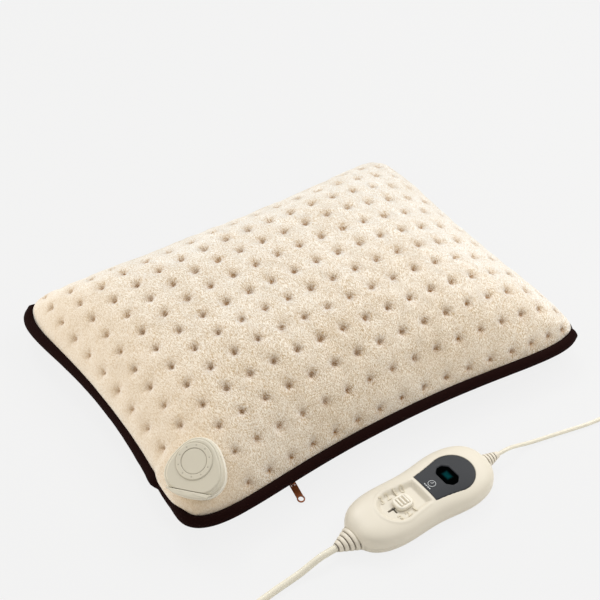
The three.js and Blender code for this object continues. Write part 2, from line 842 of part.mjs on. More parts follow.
function roundedRectangle(path, x0, x1, width, radius) {
  const half = width / 2;
  path.moveTo(x0 + radius, -half);
  path.lineTo(x1 - radius, -half);
  path.absarc(x1 - radius, -half + radius, radius, -Math.PI / 2, 0, false);
  path.lineTo(x1, half - radius);
  path.absarc(x1 - radius, half - radius, radius, 0, Math.PI / 2, false);
  path.lineTo(x0 + radius, half);
  path.absarc(x0 + radius, half - radius, radius, Math.PI / 2, Math.PI, false);
  path.lineTo(x0, -half + radius);
  path.absarc(x0 + radius, -half + radius, radius, Math.PI, 1.5 * Math.PI, false);
}

// Pull: a flat tab with an eye behind its end bar and a round hole in its rounded end
function pullTab() {
  const half = pullWidth / 2;
  const reach = Math.asin(half / pullEndRadius);
  const shape = new THREE.Shape();
  shape.moveTo(-linkWire / 2, -half);
  shape.lineTo(pullLength - pullEndRadius * Math.cos(reach), -half);
  shape.absarc(pullLength, 0, pullEndRadius, reach - Math.PI, Math.PI - reach, false);
  shape.lineTo(-linkWire / 2, half);
  const eyeHalf = half - linkWire;
  const eye = new THREE.Path();
  eye.moveTo(linkWire / 2, -eyeHalf);
  eye.lineTo(linkWire / 2, eyeHalf);
  eye.lineTo(linkWire / 2 + pullEyeLength, eyeHalf);
  eye.lineTo(linkWire / 2 + pullEyeLength, -eyeHalf);
  const hole = new THREE.Path();
  hole.absarc(pullLength, 0, pullHoleRadius, 0, 2 * Math.PI, true);
  shape.holes.push(eye, hole);
  return prism(shape, -pullThickness / 2, pullThickness / 2, 5);
}

// Slider, link and pull: each is placed on the one that carries it
function zipRunner() {
  const slider = piece('zip_slider', zipSlider(), zipMetal);
  slider.applyMatrix4(zipFrame(zipRestAt));
  const bail = new THREE.Vector3(0, 0, bailAxis).applyMatrix4(zipFrame(zipRestAt));
  const hanging = new THREE.Group();
  hanging.position.copy(bail);
  hanging.rotation.z = -Math.PI / 2 - Math.asin(zipRestAt / zipRadius);
  const link = piece('zip_pull_link', pullLink(), zipMetal);
  link.rotation.y = linkSlope;
  const tab = piece('zip_pull', pullTab(), zipMetal);
  const barPlace = linkStart + linkReach - 2 * gap - linkWire / 2;
  tab.position.set(barPlace * Math.cos(linkSlope), 0, -barPlace * Math.sin(linkSlope));
  tab.rotation.set(0, pullSlope, pullTurn, 'ZYX');
  hanging.add(link, tab);
  const runner = new THREE.Group();
  runner.add(slider, hanging);
  return runner;
}

function zip() {
  const group = new THREE.Group();
  group.add(piece('zip_tape_upper', zipTape(1), tapeCloth));
  group.add(piece('zip_tape_lower', zipTape(-1), tapeCloth));
  group.add(piece('zip_chain', zipChain(), tapeCloth));
  group.add(piece('zip_stop_left', zipStop(zipStart - gap - stopLength, zipStart - gap), zipMetal));
  group.add(piece('zip_stop_right', zipStop(zipEnd + gap, zipEnd + gap + stopLength), zipMetal));
  group.add(zipRunner());
  return group;
}

// Connector socket, in its own frame: z stands off the cover, x runs along the cushion

function socketMatrix() {
  const normal = new THREE.Vector3(...socketNormalShares).normalize();
  const along = new THREE.Vector3(1, 0, 0).addScaledVector(normal, -normal.x).normalize();
  const across = new THREE.Vector3().crossVectors(normal, along);
  return new THREE.Matrix4().makeBasis(along, across, normal).setPosition(
    socketInsetX - coverWidth / 2,
    socketInsetY - coverDepth / 2,
    socketZ,
  );
}

// Three-lobed outline, grown by an offset; beyond keeps only what lies past a chord on the mouth's side
function socketOutline(offset, beyond = null) {
  const count = 24;
  const shape = new THREE.Shape();
  const towards = new THREE.Vector2(Math.cos(mouthTurn), Math.sin(mouthTurn));
  const points = [];
  for (let k = 0; k < count; k += 1) {
    const angle = mouthTurn + 2 * Math.PI * k / count + Math.PI;
    const radius = socketRadius * (1 + socketLobeShare * Math.cos(3 * (angle - socketLobeTurn))) + offset;
    points.push(new THREE.Vector2(radius * Math.cos(angle), radius * Math.sin(angle)));
  }
  const kept = beyond === null ? points : chordSegment(points, towards, beyond);
  shape.setFromPoints(kept.map((p) => p.add(new THREE.Vector2(socketCentreX, socketCentreY))));
  return shape;
}

function chordSegment(points, towards, beyond) {
  const kept = [];
  points.forEach((point, k) => {
    const next = points[(k + 1) % points.length];
    const [a, b] = [point.dot(towards) - beyond, next.dot(towards) - beyond];
    if (a >= 0) kept.push(point.clone());
    if (a * b < 0) kept.push(point.clone().lerp(next, a / (a - b)));
  });
  return kept;
}

const socketBottom = -socketSink;
const backplateTop = socketBottom - socketNeckLength - gap;
const backplateBottom = backplateTop - backplateThickness;
const housingBottom = socketBaseTop + gap;
const latchBottom = socketTop - latchThickness;

function socketScrewHole(radius, z0, z1, side) {
  return rod(radius, z0, z1, 6).translate(side * socketScrewSpread, 0, 0);
}

// Room for the socket in the cover: a pocket, the neck's hole, the backplate's pocket, the screws' holes
function socketCutters() {
  const far = 4 * topPanelThickness;
  const cutters = [
    prism(socketOutline(gap), socketBottom - gap, far),
    rod(socketNeckRadius + gap, -far, far, 14),
    rod(backplateRadius + gap, -far, backplateTop + gap, 16),
    socketScrewHole(socketScrewRadius + gap, -far, far, -1),
    socketScrewHole(socketScrewRadius + gap, -far, far, 1),
  ];
  return cutters.map((cutter) => cutter.applyMatrix4(socketMatrix()));
}

function backplateRoom() {
  const floor = backplateBottom - 3 * gap - feedSag - feedCableDiameter;
  return rod(backplateRadius + gap, floor, 4 * topPanelThickness, 16).applyMatrix4(socketMatrix());
}

function socketBase() {
  const blockFar = contactBlockPlace + contactBlockDepth;
  const contactBlock = block(contactBlockPlace, blockFar, -contactBlockWidth / 2, contactBlockWidth / 2,
    0, housingBottom + mouthHeight).rotateZ(mouthTurn).translate(socketCentreX, socketCentreY, 0);
  const plate = joinAll([
    prism(socketOutline(0), socketBottom, socketBaseTop),
    rod(socketNeckRadius, socketBottom - socketNeckLength, 0, 14),
    contactBlock,
  ]);
  const tip = socketBottom + socketScrewGrip + gap;
  const cutters = [
    rod(socketNeckBore, socketBottom - socketNeckLength - overrun, socketBaseTop - socketWall, 12),
    socketScrewHole(socketScrewRadius + gap, socketBottom - overrun, tip, -1),
    socketScrewHole(socketScrewRadius + gap, socketBottom - overrun, tip, 1),
    ...[-1, 0, 1].map((k) => contactRod(k, contactDiameter / 2 + gap, gap)),
  ];
  return cutAway(plate, cutters);
}

function contactRod(k, radius, play) {
  const start = contactBlockPlace + socketWall;
  return rodAlongX(radius, start - play, start + contactLength + play, 8)
    .translate(0, k * contactSpacing, housingBottom + mouthHeight / 2)
    .rotateZ(mouthTurn)
    .translate(socketCentreX, socketCentreY, 0);
}

function socketHousing() {
  const outer = prism(socketOutline(-socketStep), housingBottom, socketTop);
  const mouthEnd = 2 * socketRadius;
  const mouth = block(contactBlockPlace, mouthEnd, -mouthWidth / 2, mouthWidth / 2,
    housingBottom - overrun, housingBottom + mouthHeight)
    .rotateZ(mouthTurn).translate(socketCentreX, socketCentreY, 0);
  return cutAway(outer, [
    prism(socketOutline(-socketStep - socketWall), housingBottom - overrun, socketTop - socketRoof),
    mouth,
    prism(socketOutline(overrun, latchPlace - gap), latchBottom - latchTravel - gap, socketTop + overrun),
    rod(capRadius + gap, socketTop - capSeat, socketTop + overrun, 24).translate(capX, capY, 0),
  ]);
}

function socketLatch() {
  const toothStart = latchPlace + gap;
  const tooth = block(toothStart, toothStart + latchToothDepth, -latchToothWidth / 2, latchToothWidth / 2,
    latchBottom - latchToothReach, latchBottom + gap)
    .rotateZ(mouthTurn).translate(socketCentreX, socketCentreY, 0);
  return joinAll([prism(socketOutline(latchLip, latchPlace), latchBottom, socketTop), tooth]);
}

function socketCap() {
  const low = socketTop - capSeat + gap;
  const high = socketTop + capRise;
  const profile = [
    [0, low], [capRadius, low], [capRadius, high - capGroove], [capRadius - capGroove, high],
    [capInnerRadius + 2 * capGroove, high], [capInnerRadius + capGroove, high - capGroove],
    [capInnerRadius, high], [0, high],
  ];
  return new THREE.LatheGeometry(profile.map(([r, z]) => new THREE.Vector2(r, z)), 24)
    .rotateX(Math.PI / 2)
    .translate(capX, capY, 0);
}

function backplate() {
  const plate = rod(backplateRadius, backplateBottom, backplateTop, 16);
  return cutAway(plate, [
    rod(socketNeckBore, backplateBottom - overrun, backplateTop + overrun, 12),
    socketScrewHole(socketScrewRadius + gap, backplateBottom - overrun, backplateTop + overrun, -1),
    socketScrewHole(socketScrewRadius + gap, backplateBottom - overrun, backplateTop + overrun, 1),
  ]);
}

function socketScrew(side) {
  const headTop = backplateBottom - gap;
  const head = socketScrewHole(socketScrewHeadRadius, headTop - socketScrewHeadHeight, headTop, side);
  const shank = socketScrewHole(socketScrewRadius, headTop - gap, socketBottom + socketScrewGrip, side);
  return joinAll([head, shank]);
}

// Two-core cable from the socket's neck, under the backplate, to the ends of the heating wire
function feedCable() {
  const under = backplateBottom - 2 * gap - feedSag - feedCableDiameter / 2;
  const heights = [backplateTop, (backplateTop + under) / 2, under, under];
  const socketPoints = feedPlanShares.map(([x, y], k) => new THREE.Vector3(
    x * backplateRadius,
    y * backplateRadius,
    heights[k],
  ).applyMatrix4(socketMatrix()));
  const end = facetPoint(-wireLaneShare, wireBands[0], wireDepth);
  end.x -= 2 * gap;
  const nearEnd = facetPoint(-wireReturnShare, wireBands[0], wireDepth + gap);
  return lead([...socketPoints, nearEnd, end].map((p) => p.toArray()), feedCableDiameter, 8);
}

function socket() {
  const group = new THREE.Group();
  group.applyMatrix4(socketMatrix());
  group.add(piece('socket_base', socketBase(), socketPlastic));
  group.add(piece('socket_housing', socketHousing(), socketPlastic));
  group.add(piece('socket_cap', socketCap(), socketPlastic));
  group.add(piece('socket_latch', socketLatch(), socketPlastic));
  group.add(piece('socket_backplate', backplate(), socketPlastic));
  [-1, 0, 1].forEach((k) => {
    group.add(piece(`socket_contact_${k + 2}`, contactRod(k, contactDiameter / 2, 0), contactBrass));
  });
  group.add(piece('socket_screw_1', socketScrew(-1), screwSteel));
  group.add(piece('socket_screw_2', socketScrew(1), screwSteel));
  return group;
}

// Controller, in its own frame: x along it, z up from the surface it lies on

function smooth(t) {
  return t * t * (3 - 2 * t);
}

function bodyHalfWidth(s) {
  const lobe = s < waistPlaceShare ? leftLobeHalf : rightLobeHalf;
  const reach = s < waistPlaceShare ? lobePlaceShare + waistPlaceShare : lobePlaceShare - waistPlaceShare;
  const t = Math.min(1, Math.abs(s - waistPlaceShare) / reach);
  return waistHalf + (lobe - waistHalf) * smooth(t);
}

// Half section of the body at a place s from -1 to 1, drawn in by an inset; lower halves are flat below
function bodyHalfRing(s, upper, inset, halfLength, skirt) {
  const endRound = (1 - Math.abs(s) ** endPower) ** (1 / endRoundness);
  const fall = (1 - Math.abs(s) ** endFallPower) ** (1 / endFallRoundness);
  const half = bodyHalfWidth(s) * endRound - inset * smooth(endRound);
  const height = upper ? controllerHeight - partingHeight : partingHeight + footCut;
  const rise = (height - inset) * fall;
  const sign = upper ? 1 : -1;
  const parts = 8;
  const ring = Array.from({ length: parts + 1 }, (_, k) => {
    const angle = Math.PI * k / parts;
    const [c, d] = [Math.cos(angle), Math.sin(angle)];
    const y = half * Math.sign(c) * Math.abs(c) ** (2 / sectionPower);
    const z = partingHeight + sign * rise * Math.abs(d) ** (2 / sectionPower);
    return new THREE.Vector3(s * halfLength, y, Math.max(z, upper ? z : inset));
  });
  if (skirt > 0) {
    ring.push(new THREE.Vector3(s * halfLength, -half, partingHeight - sign * skirt));
    ring.push(new THREE.Vector3(s * halfLength, half, partingHeight - sign * skirt));
  }
  return ring;
}

function bodyHalf(upper, inset = 0, skirt = 0) {
  const shares = [...mirrored([0, ...stationShares]), endShare];
  const stations = [-endShare, ...shares];
  const halfLength = inset > 0 ? controllerHalfLength - cavityEndWall : controllerHalfLength;
  return loft(stations.map((s) => bodyHalfRing(s, upper, inset, halfLength, skirt)));
}

function teardrop(sign, edgeX, edgeHalf, lobeX, lobeRadius, grow = 0) {
  const radius = lobeRadius + grow;
  const edge = edgeX - sign * grow;
  const half = edgeHalf + grow;
  const touchX = lobeX + sign * radius * Math.cos(teardropSweep);
  const touchY = radius * Math.sin(teardropSweep);
  const bendX = edge + (touchX - edge) * teardropBendShare;
  const bendY = half + (touchY - half) * teardropSwellShare;
  const turn = sign > 0 ? 0 : Math.PI;
  const shape = new THREE.Shape();
  shape.moveTo(edge, -half);
  shape.quadraticCurveTo(bendX, -bendY, touchX, -touchY);
  shape.absarc(lobeX, 0, radius, turn - sign * teardropSweep, turn + sign * teardropSweep, sign < 0);
  shape.quadraticCurveTo(bendX, bendY, edge, half);
  return shape;
}

function panelOutline(grow) {
  return teardrop(1, panelEdgeX, panelEdgeHalf, panelLobeX, panelLobeRadius, grow);
}

function recessOutline(grow) {
  return teardrop(-1, recessEdgeX, recessEdgeHalf, recessLobeX, recessLobeRadius, grow);
}

function windowOutline(grow) {
  const [x, y] = [windowLength / 2 + grow, windowWidth / 2 + grow];
  const shape = new THREE.Shape();
  shape.moveTo(windowX - x + windowChamfer, -y);
  shape.lineTo(windowX + x - windowChamfer, -y);
  shape.lineTo(windowX + x, -y + windowChamfer);
  shape.lineTo(windowX + x, y - windowChamfer);
  shape.lineTo(windowX + x - windowChamfer, y);
  shape.lineTo(windowX - x + windowChamfer, y);
  shape.lineTo(windowX - x, y - windowChamfer);
  shape.lineTo(windowX - x, -y + windowChamfer);
  return shape;
}

function onFace(geometry) {
  return geometry.translate(0, faceOffset, 0);
}

const recessFloor = controllerHeight - recessDepth;
const panelFloor = controllerHeight - panelDepth;
const boardTop = boardHeight + boardThickness;
const switchTop = controllerHeight - switchDrop;
const postX = controllerHalfLength - postInset;
const boardLength = 2 * (postX - postRadius - boardEndPlay);
const slotHalf = stemWidth / 2 + gap;
const postPlaces = [[-postX, -postY], [-postX, postY], [postX, -postY], [postX, postY]];

function posts(radius, z0, z1, sides) {
  return postPlaces.map(([x, y]) => rod(radius, z0, z1, sides).translate(x, y, 0));
}

// Grooves in both shells that hold a boot's collar, neck and flange
function bootRooms() {
  return [-1, 1].flatMap((side) => {
    const outer = controllerHalfLength - bootSeat - gap;
    const radius = side < 0 ? mainsBootRadius : padBootRadius;
    const flangeFar = outer + gap - bootNeckLength;
    const ranges = [
      [radius + gap, outer, controllerHalfLength + overrun, 16],
      [bootNeckRadius + gap, flangeFar - bootFlangeThickness - overrun, outer + overrun, 12],
      [bootFlangeRadius + gap, flangeFar - bootFlangeThickness - gap, flangeFar + gap, 12],
    ];
    return ranges.map(([r, a, b, sides]) => {
      const [from, to] = side > 0 ? [a, b] : [-b, -a];
      return rodAlongX(r, from, to, sides).translate(0, 0, bootAxisHeight);
    });
  });
}

function controllerUpperShell() {
  const tubs = [
    onFace(prism(panelOutline(controllerWall), panelFloor - faceFloorThickness, controllerHeight)),
    onFace(prism(recessOutline(controllerWall), recessFloor - faceFloorThickness, controllerHeight)),
    ...posts(postRadius, partingHeight + gap, controllerHeight, 10),
  ];
  const cavity = cutAway(bodyHalf(true, controllerWall, overrun), tubs);
  const slotStart = knobX - knobTravel - stemLength / 2 - gap - slotLead;
  const slotEnd = knobX + stemLength / 2 + gap;
  const halfDisplay = displayWidth / 2 + gap;
  const shell = cutAway(bodyHalf(true), [
    cavity,
    onFace(prism(recessOutline(0), recessFloor, controllerHeight + overrun)),
    onFace(prism(panelOutline(0), panelFloor, controllerHeight + overrun)),
    onFace(block(slotStart, slotEnd, -slotHalf, slotHalf, partingHeight, controllerHeight)),
    onFace(block(windowX - displayLength / 2 - gap, windowX + displayLength / 2 + gap,
      -halfDisplay, halfDisplay, partingHeight, controllerHeight)),
    ...posts(screwRadius + gap, partingHeight - overrun, screwRecess + screwLength + gap, 6),
    ...bootRooms(),
  ]);
  return shell;
}

function controllerLowerShell() {
  const ribX = boardLength * boardRibShare;
  const ribHalf = boardRibThickness / 2;
  const ribs = [-ribX, ribX].map((x) => block(x - ribHalf, x + ribHalf, -boardWidth / 2, boardWidth / 2,
    0, boardHeight - gap));
  const cavity = cutAway(bodyHalf(false, controllerWall, overrun), [
    ...ribs, ...posts(postRadius, 0, partingHeight - gap, 10),
  ]);
  return cutAway(bodyHalf(false), [
    cavity,
    block(-2 * controllerHalfLength, 2 * controllerHalfLength, -2 * rightLobeHalf, 2 * rightLobeHalf,
      partingHeight - gap, partingHeight + overrun),
    ...posts(screwRadius + gap, -overrun, partingHeight + overrun, 6),
    ...posts(screwHeadRadius + gap, -overrun, screwRecess + screwHeadHeight + gap, 8),
    ...bootRooms(),
  ]);
}

function displayPanel() {
  const plug = onFace(prism(panelOutline(-gap), panelFloor + gap, controllerHeight + overrun));
  const opening = onFace(prism(windowOutline(0), 0, controllerHeight + 2 * overrun));
  return toGeometry(toSolid(bodyHalf(true)).intersect(toSolid(plug)).subtract(toSolid(opening)));
}

const lensTop = controllerHeight - windowDrop;
const lensBottom = lensTop - windowThickness;

function displayWindow() {
  return onFace(prism(windowOutline(-gap), lensBottom, lensTop));
}

function displayModule() {
  return onFace(block(windowX - displayLength / 2, windowX + displayLength / 2,
    -displayWidth / 2, displayWidth / 2, boardTop + gap, lensBottom - displayDrop));
}

function circuitBoard() {
  return block(-boardLength / 2, boardLength / 2, -boardWidth / 2, boardWidth / 2, boardHeight, boardTop);
}

function slideSwitch() {
  const middle = knobX - knobTravel / 2;
  const half = switchLength / 2;
  const grooveHalf = (knobTravel + stemLength) / 2 + gap;
  const body = onFace(block(middle - half, middle + half, -switchWidth / 2, switchWidth / 2,
    boardTop + gap, switchTop));
  return cutAway(body, [onFace(block(middle - grooveHalf, middle + grooveHalf, -slotHalf, slotHalf,
    switchTop - switchGrooveDepth, switchTop + overrun))]);
}

function sliderKnob() {
  const bottom = recessFloor + gap;
  const top = bottom + knobHeight;
  const outline = new THREE.Shape();
  roundedRectangle(outline, knobX - knobLength / 2, knobX + knobLength / 2, knobWidth, knobCorner);
  const ribHalf = knobRibWidth / 2;
  const ribs = Array.from({ length: knobRibs }, (_, k) => {
    const x = knobX + (k - (knobRibs - 1) / 2) * knobRibPitch;
    const y = knobRibLength / 2;
    return block(x - ribHalf, x + ribHalf, -y, y, top - gap, top + knobRibHeight);
  });
  const stem = block(knobX - stemLength / 2, knobX + stemLength / 2, -stemWidth / 2, stemWidth / 2,
    switchTop - stemEntry, bottom + gap);
  return onFace(joinAll([prism(outline, bottom, top, 5), ...ribs, stem]));
}

function fuse() {
  return rodAlongX(fuseRadius, fuseX - fuseLength / 2, fuseX + fuseLength / 2, 10)
    .translate(0, fuseY, boardTop + gap + fuseRadius);
}

function powerSwitch() {
  return block(powerSwitchX - powerSwitchLength / 2, powerSwitchX + powerSwitchLength / 2,
    powerSwitchY - powerSwitchWidth / 2, powerSwitchY + powerSwitchWidth / 2,
    boardTop + gap, controllerHeight - powerSwitchDrop);
}

function caseScrew() {
  const headTop = screwRecess + screwHeadHeight;
  return joinAll([
    rod(screwHeadRadius, screwRecess, headTop, 8),
    rod(screwRadius, headTop - gap, screwRecess + screwLength, 6),
  ]);
}

// Ribbed cone along +x from x = 0, with an optional collar seat behind it
function bootProfile(radius, tipRadius, length, ribs) {
  const ribbed = length * bootRibbedShare;
  const pitch = ribbed / ribs;
  const radiusAt = (x) => radius + (tipRadius - radius) * x / length;
  const profile = [];
  for (let k = 0; k < ribs; k += 1) {
    const x = k * pitch;
    const land = pitch * (1 - (1 - bootGrooveShare) * 2);
    profile.push([x, radiusAt(x)], [x + land, radiusAt(x)]);
    profile.push([x + (land + pitch) / 2, radiusAt(x + pitch) * bootGrooveShare]);
  }
  profile.push([ribbed, radiusAt(ribbed) * bootGrooveShare], [length, tipRadius], [length, 0]);
  return profile;
}

function turned(profile, sides) {
  return new THREE.LatheGeometry(profile.map(([x, r]) => new THREE.Vector2(r, x)), sides)
    .rotateZ(-Math.PI / 2);
}

function controllerBoot(radius, tipRadius, length, ribs) {
  const flange = -bootNeckLength - bootFlangeThickness;
  const seat = [
    [flange, 0], [flange, bootFlangeRadius], [-bootNeckLength, bootFlangeRadius],
    [-bootNeckLength, bootNeckRadius], [0, bootNeckRadius],
  ];
  return turned([...seat, ...bootProfile(radius, tipRadius, length, ribs)], bootSides);
}

function controller() {
  const group = new THREE.Group();
  group.position.set(controllerX, controllerY, 0);
  group.rotation.z = controllerHeading;
  group.add(piece('controller_upper_shell', controllerUpperShell(), casePlastic));
  group.add(piece('controller_lower_shell', controllerLowerShell(), casePlastic));
  group.add(piece('display_panel', displayPanel(), panelPlastic));
  group.add(piece('display_window', displayWindow(), windowLens));
  group.add(piece('display_module', displayModule(), displayGlass));
  group.add(piece('circuit_board', circuitBoard(), boardLaminate));
  group.add(piece('slide_switch', slideSwitch(), partBlack));
  group.add(piece('slider_knob', sliderKnob(), casePlastic));
  group.add(piece('fuse', fuse(), displayGlass));
  group.add(piece('power_switch', powerSwitch(), partBlack));
  postPlaces.forEach(([x, y], k) => {
    const screw = piece(`case_screw_${k + 1}`, caseScrew(), screwSteel);
    screw.position.set(x, y, 0);
    group.add(screw);
  });
  const mainsBoot = controllerBoot(mainsBootRadius, mainsBootTipRadius, mainsBootLength, mainsBootRibs);
  const padBoot = controllerBoot(padBootRadius, padBootTipRadius, padBootLength, padBootRibs);
  const left = piece('mains_boot', mainsBoot, casePlastic);
  left.position.set(bootSeat - controllerHalfLength, 0, bootAxisHeight);
  left.rotation.z = Math.PI;
  const right = piece('pad_boot', padBoot, casePlastic);
  right.position.set(controllerHalfLength - bootSeat, 0, bootAxisHeight);
  group.add(left, right);
  return group;
}

// Leads

function lead(route, diameter, sides) {
  const curve = new THREE.CatmullRomCurve3(route.map(([x, y, z]) => new THREE.Vector3(x, y, z)));
  const shape = new THREE.Shape();
  shape.absarc(0, 0, diameter / 2, 0, 2 * Math.PI, false);
  const count = Math.ceil(curve.getLength() / (2 * diameter));
  return new THREE.ExtrudeGeometry(shape, {
    steps: Math.max(count, route.length),
    curveSegments: sides / 2,
    extrudePath: curve,
  });
}

// Round coil in layers: it winds inwards and outwards in turn, and climbs in the half turn where it reverses
function coilPath(centreX, centreY, radius, pitch, layers, turns, diameter, way) {
  const perLayer = turns / layers;
  const lowest = leadFloorGap + tieThickness + tiePlay + diameter / 2;
  const placeAt = (turn) => {
    const phase = turn / perLayer;
    const layer = Math.min(Math.floor(phase), layers - 1);
    const within = phase - layer;
    const drawn = layer % 2 === 0 ? within : 1 - within;
    const r = radius + pitch * perLayer * (0.5 - drawn);
    const reversal = Math.round(phase);
    const offset = (phase - reversal) * perLayer * 2;
    const climbing = reversal > 0 && reversal < layers && Math.abs(offset) < 0.5;
    const level = climbing ? reversal - 0.5 + offset : layer;
    const angle = Math.PI / 2 + way * 2 * Math.PI * turn;
    const height = lowest + pitch * level;
    return new THREE.Vector3(centreX + r * Math.cos(angle), centreY + r * Math.sin(angle), height);
  };
  const count = Math.round(turns * coilStepsPerTurn);
  const points = Array.from({ length: count + 1 }, (_, k) => placeAt(turns * k / count));
  const [first, second] = points;
  const [last, previous] = [points[count], points[count - 1]];
  const straight = diameter * coilEndShare;
  const bendStart = tangentAt(first, second, centreX, centreY);
  const bendEnd = tangentAt(last, previous, centreX, centreY);
  points.unshift(first.clone().addScaledVector(bendStart, -straight));
  points.push(last.clone().addScaledVector(bendEnd, -straight));
  return points;
}

// Level direction of the winding at its end, from the chord turned back by half a step
function tangentAt(end, next, centreX, centreY) {
  const chord = next.clone().sub(end).setZ(0).normalize();
  const radial = new THREE.Vector3(end.x - centreX, end.y - centreY, 0).normalize();
  const halfStep = Math.sin(Math.PI / coilStepsPerTurn);
  return chord.addScaledVector(radial, halfStep).normalize();
}

// Least clear distance between stretches of a winding that aren't neighbours along it
function leastGap(points, diameter) {
  const skip = coilStepsPerTurn / 2;
  let least = Infinity;
  points.forEach((point, i) => {
    for (let j = 0; j < points.length - 1; j += 1) {
      if (Math.abs(i - j) < skip) continue;
      const span = new THREE.Line3(points[j], points[j + 1]);
      const nearest = span.closestPointToPoint(point, true, new THREE.Vector3());
      least = Math.min(least, nearest.distanceTo(point));
    }
  });
  return least - diameter;
}

// Strap round the section of a coil, in a plane through the coil's axis
function tie(centreX, centreY, radius, pitch, layers, turns, diameter, side) {
  const halfWide = (pitch * turns / layers + diameter) / 2 + tiePlay;
  const high = pitch * (layers - 1) + diameter + 2 * tiePlay;
  const outline = new THREE.Shape();
  roundedRectangle(outline, -halfWide - tieThickness, halfWide + tieThickness, high + 2 * tieThickness,
    tieCorner + tieThickness);
  const hole = new THREE.Path();
  roundedRectangle(hole, -halfWide, halfWide, high, tieCorner);
  outline.holes.push(hole);
  return prism(outline, -tieWidth / 2, tieWidth / 2, 2)
    .rotateX(Math.PI / 2)
    .translate(centreX + side * radius, centreY, leadFloorGap + tieThickness + high / 2);
}

// Flat plug body along +x: narrow at the cord, full at the face
function plugBody(length, width, thickness, tailShare) {
  const stations = 8;
  const sides = 16;
  const rings = Array.from({ length: stations + 1 }, (_, k) => {
    const t = k / stations;
    const swell = tailShare + (1 - tailShare) * smooth(Math.min(1, t / plugSwellShare));
    const depth = tailShare + (1 - tailShare) * Math.min(1, Math.sqrt(t / plugSwellShare));
    return Array.from({ length: sides }, (_, j) => {
      const angle = 2 * Math.PI * (j + 0.5) / sides;
      const [c, d] = [Math.cos(angle), Math.sin(angle)];
      return new THREE.Vector3(
        length * t,
        width / 2 * swell * Math.sign(c) * Math.abs(c) ** (2 / plugPower),
        thickness / 2 * depth * Math.sign(d) * Math.abs(d) ** (2 / plugPower),
      );
    });
  });
  return loft(rings);
}

function cordBoot(baseRadius, tipRadius, length, ribs) {
  const profile = [[0, 0], ...bootProfile(baseRadius, tipRadius, length, ribs)];
  return turned(profile, cordBootSides).rotateZ(Math.PI).translate(length, 0, 0);
}

function mainsPlug() {
  const group = new THREE.Group();
  group.position.set(...mainsTailRoute[mainsTailRoute.length - 1]);
  group.rotation.z = plugHeading;
  const bodyStart = gap + plugBootLength + gap;
  const pinStart = bodyStart + plugLength + gap;
  const boot = cordBoot(plugBootRadius, mainsDiameter / 2 + gap, plugBootLength, plugBootRibs);
  const bodyShape = plugBody(plugLength, plugWidth, plugThickness, plugTailShare);
  group.add(piece('plug_boot', boot.translate(gap, 0, 0), casePlastic));
  group.add(piece('plug_body', bodyShape.translate(bodyStart, 0, 0), casePlastic));
  [-1, 1].forEach((side, k) => {
    const pin = rodAlongX(plugPinRadius, pinStart, pinStart + plugPinLength, 10);
    group.add(piece(`plug_pin_${k + 1}`, pin.translate(0, side * plugPinSpacing / 2, 0), contactBrass));
  });
  return group;
}

function connectorPlug() {
  const group = new THREE.Group();
  group.position.set(...padTailRoute[padTailRoute.length - 1]);
  group.rotation.z = connectorHeading;
  const bodyStart = gap + connectorBootLength + gap;
  const bodyEnd = bodyStart + connectorLength;
  const bootTip = padLeadDiameter / 2 + gap;
  const boot = cordBoot(connectorBootRadius, bootTip, connectorBootLength, connectorBootRibs);
  const bodyShape = plugBody(connectorLength, connectorWidth, connectorThickness, connectorTailShare);
  const tongue = block(bodyEnd - overrun, bodyEnd + tongueLength, -tongueWidth / 2, tongueWidth / 2,
    -tongueThickness / 2, tongueThickness / 2);
  group.add(piece('connector_boot', boot.translate(gap, 0, 0), socketPlastic));
  const bodyPiece = joinAll([bodyShape.translate(bodyStart, 0, 0), tongue]);
  group.add(piece('connector_body', bodyPiece, socketPlastic));
  return group;
}

function leads() {
  const group = new THREE.Group();
  const mainsPlace = [mainsCoilX, mainsCoilY, mainsCoilRadius];
  const mainsWinding = [mainsTurnPitch, mainsLayers, mainsTurns, mainsDiameter];
  const padPlace = [padCoilX, padCoilY, padCoilRadius];
  const padWinding = [padTurnPitch, padLayers, padTurns, padLeadDiameter];
  const mainsPath = coilPath(...mainsPlace, ...mainsWinding, 1);
  const padPath = coilPath(...padPlace, ...padWinding, -1);
  console.log(`mains coil, least gap: ${leastGap(mainsPath, mainsDiameter).toFixed(2)} mm`);
  console.log(`pad coil, least gap: ${leastGap(padPath, padLeadDiameter).toFixed(2)} mm`);
  group.add(piece('mains_lead', lead(mainsRoute, mainsDiameter, 10), leadJacket));
  group.add(piece('mains_coil', tube(mainsPath, mainsDiameter / 2, coilSides), leadJacket));
  group.add(piece('mains_tail', lead(mainsTailRoute, mainsDiameter, 10), leadJacket));
  group.add(piece('mains_tie', tie(...mainsPlace, ...mainsWinding, 1), tieStrap));
  group.add(piece('pad_lead', lead(padRoute, padLeadDiameter, 8), leadJacket));
  group.add(piece('pad_coil', tube(padPath, padLeadDiameter / 2, coilSides), leadJacket));
  group.add(piece('pad_tail', lead(padTailRoute, padLeadDiameter, 8), leadJacket));
  group.add(piece('pad_tie', tie(...padPlace, ...padWinding, -1), tieStrap));
  group.add(mainsPlug());
  group.add(connectorPlug());
  return group;
}

const heatingCushion = new THREE.Group();
heatingCushion.add(cushion(), zip(), socket(), controller(), leads());
heatingCushion.add(piece('feed_cable', feedCable(), wireSleeve));

export default heatingCushion;
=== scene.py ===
import math
import bpy
import numpy as np
from mathutils import Matrix, Vector


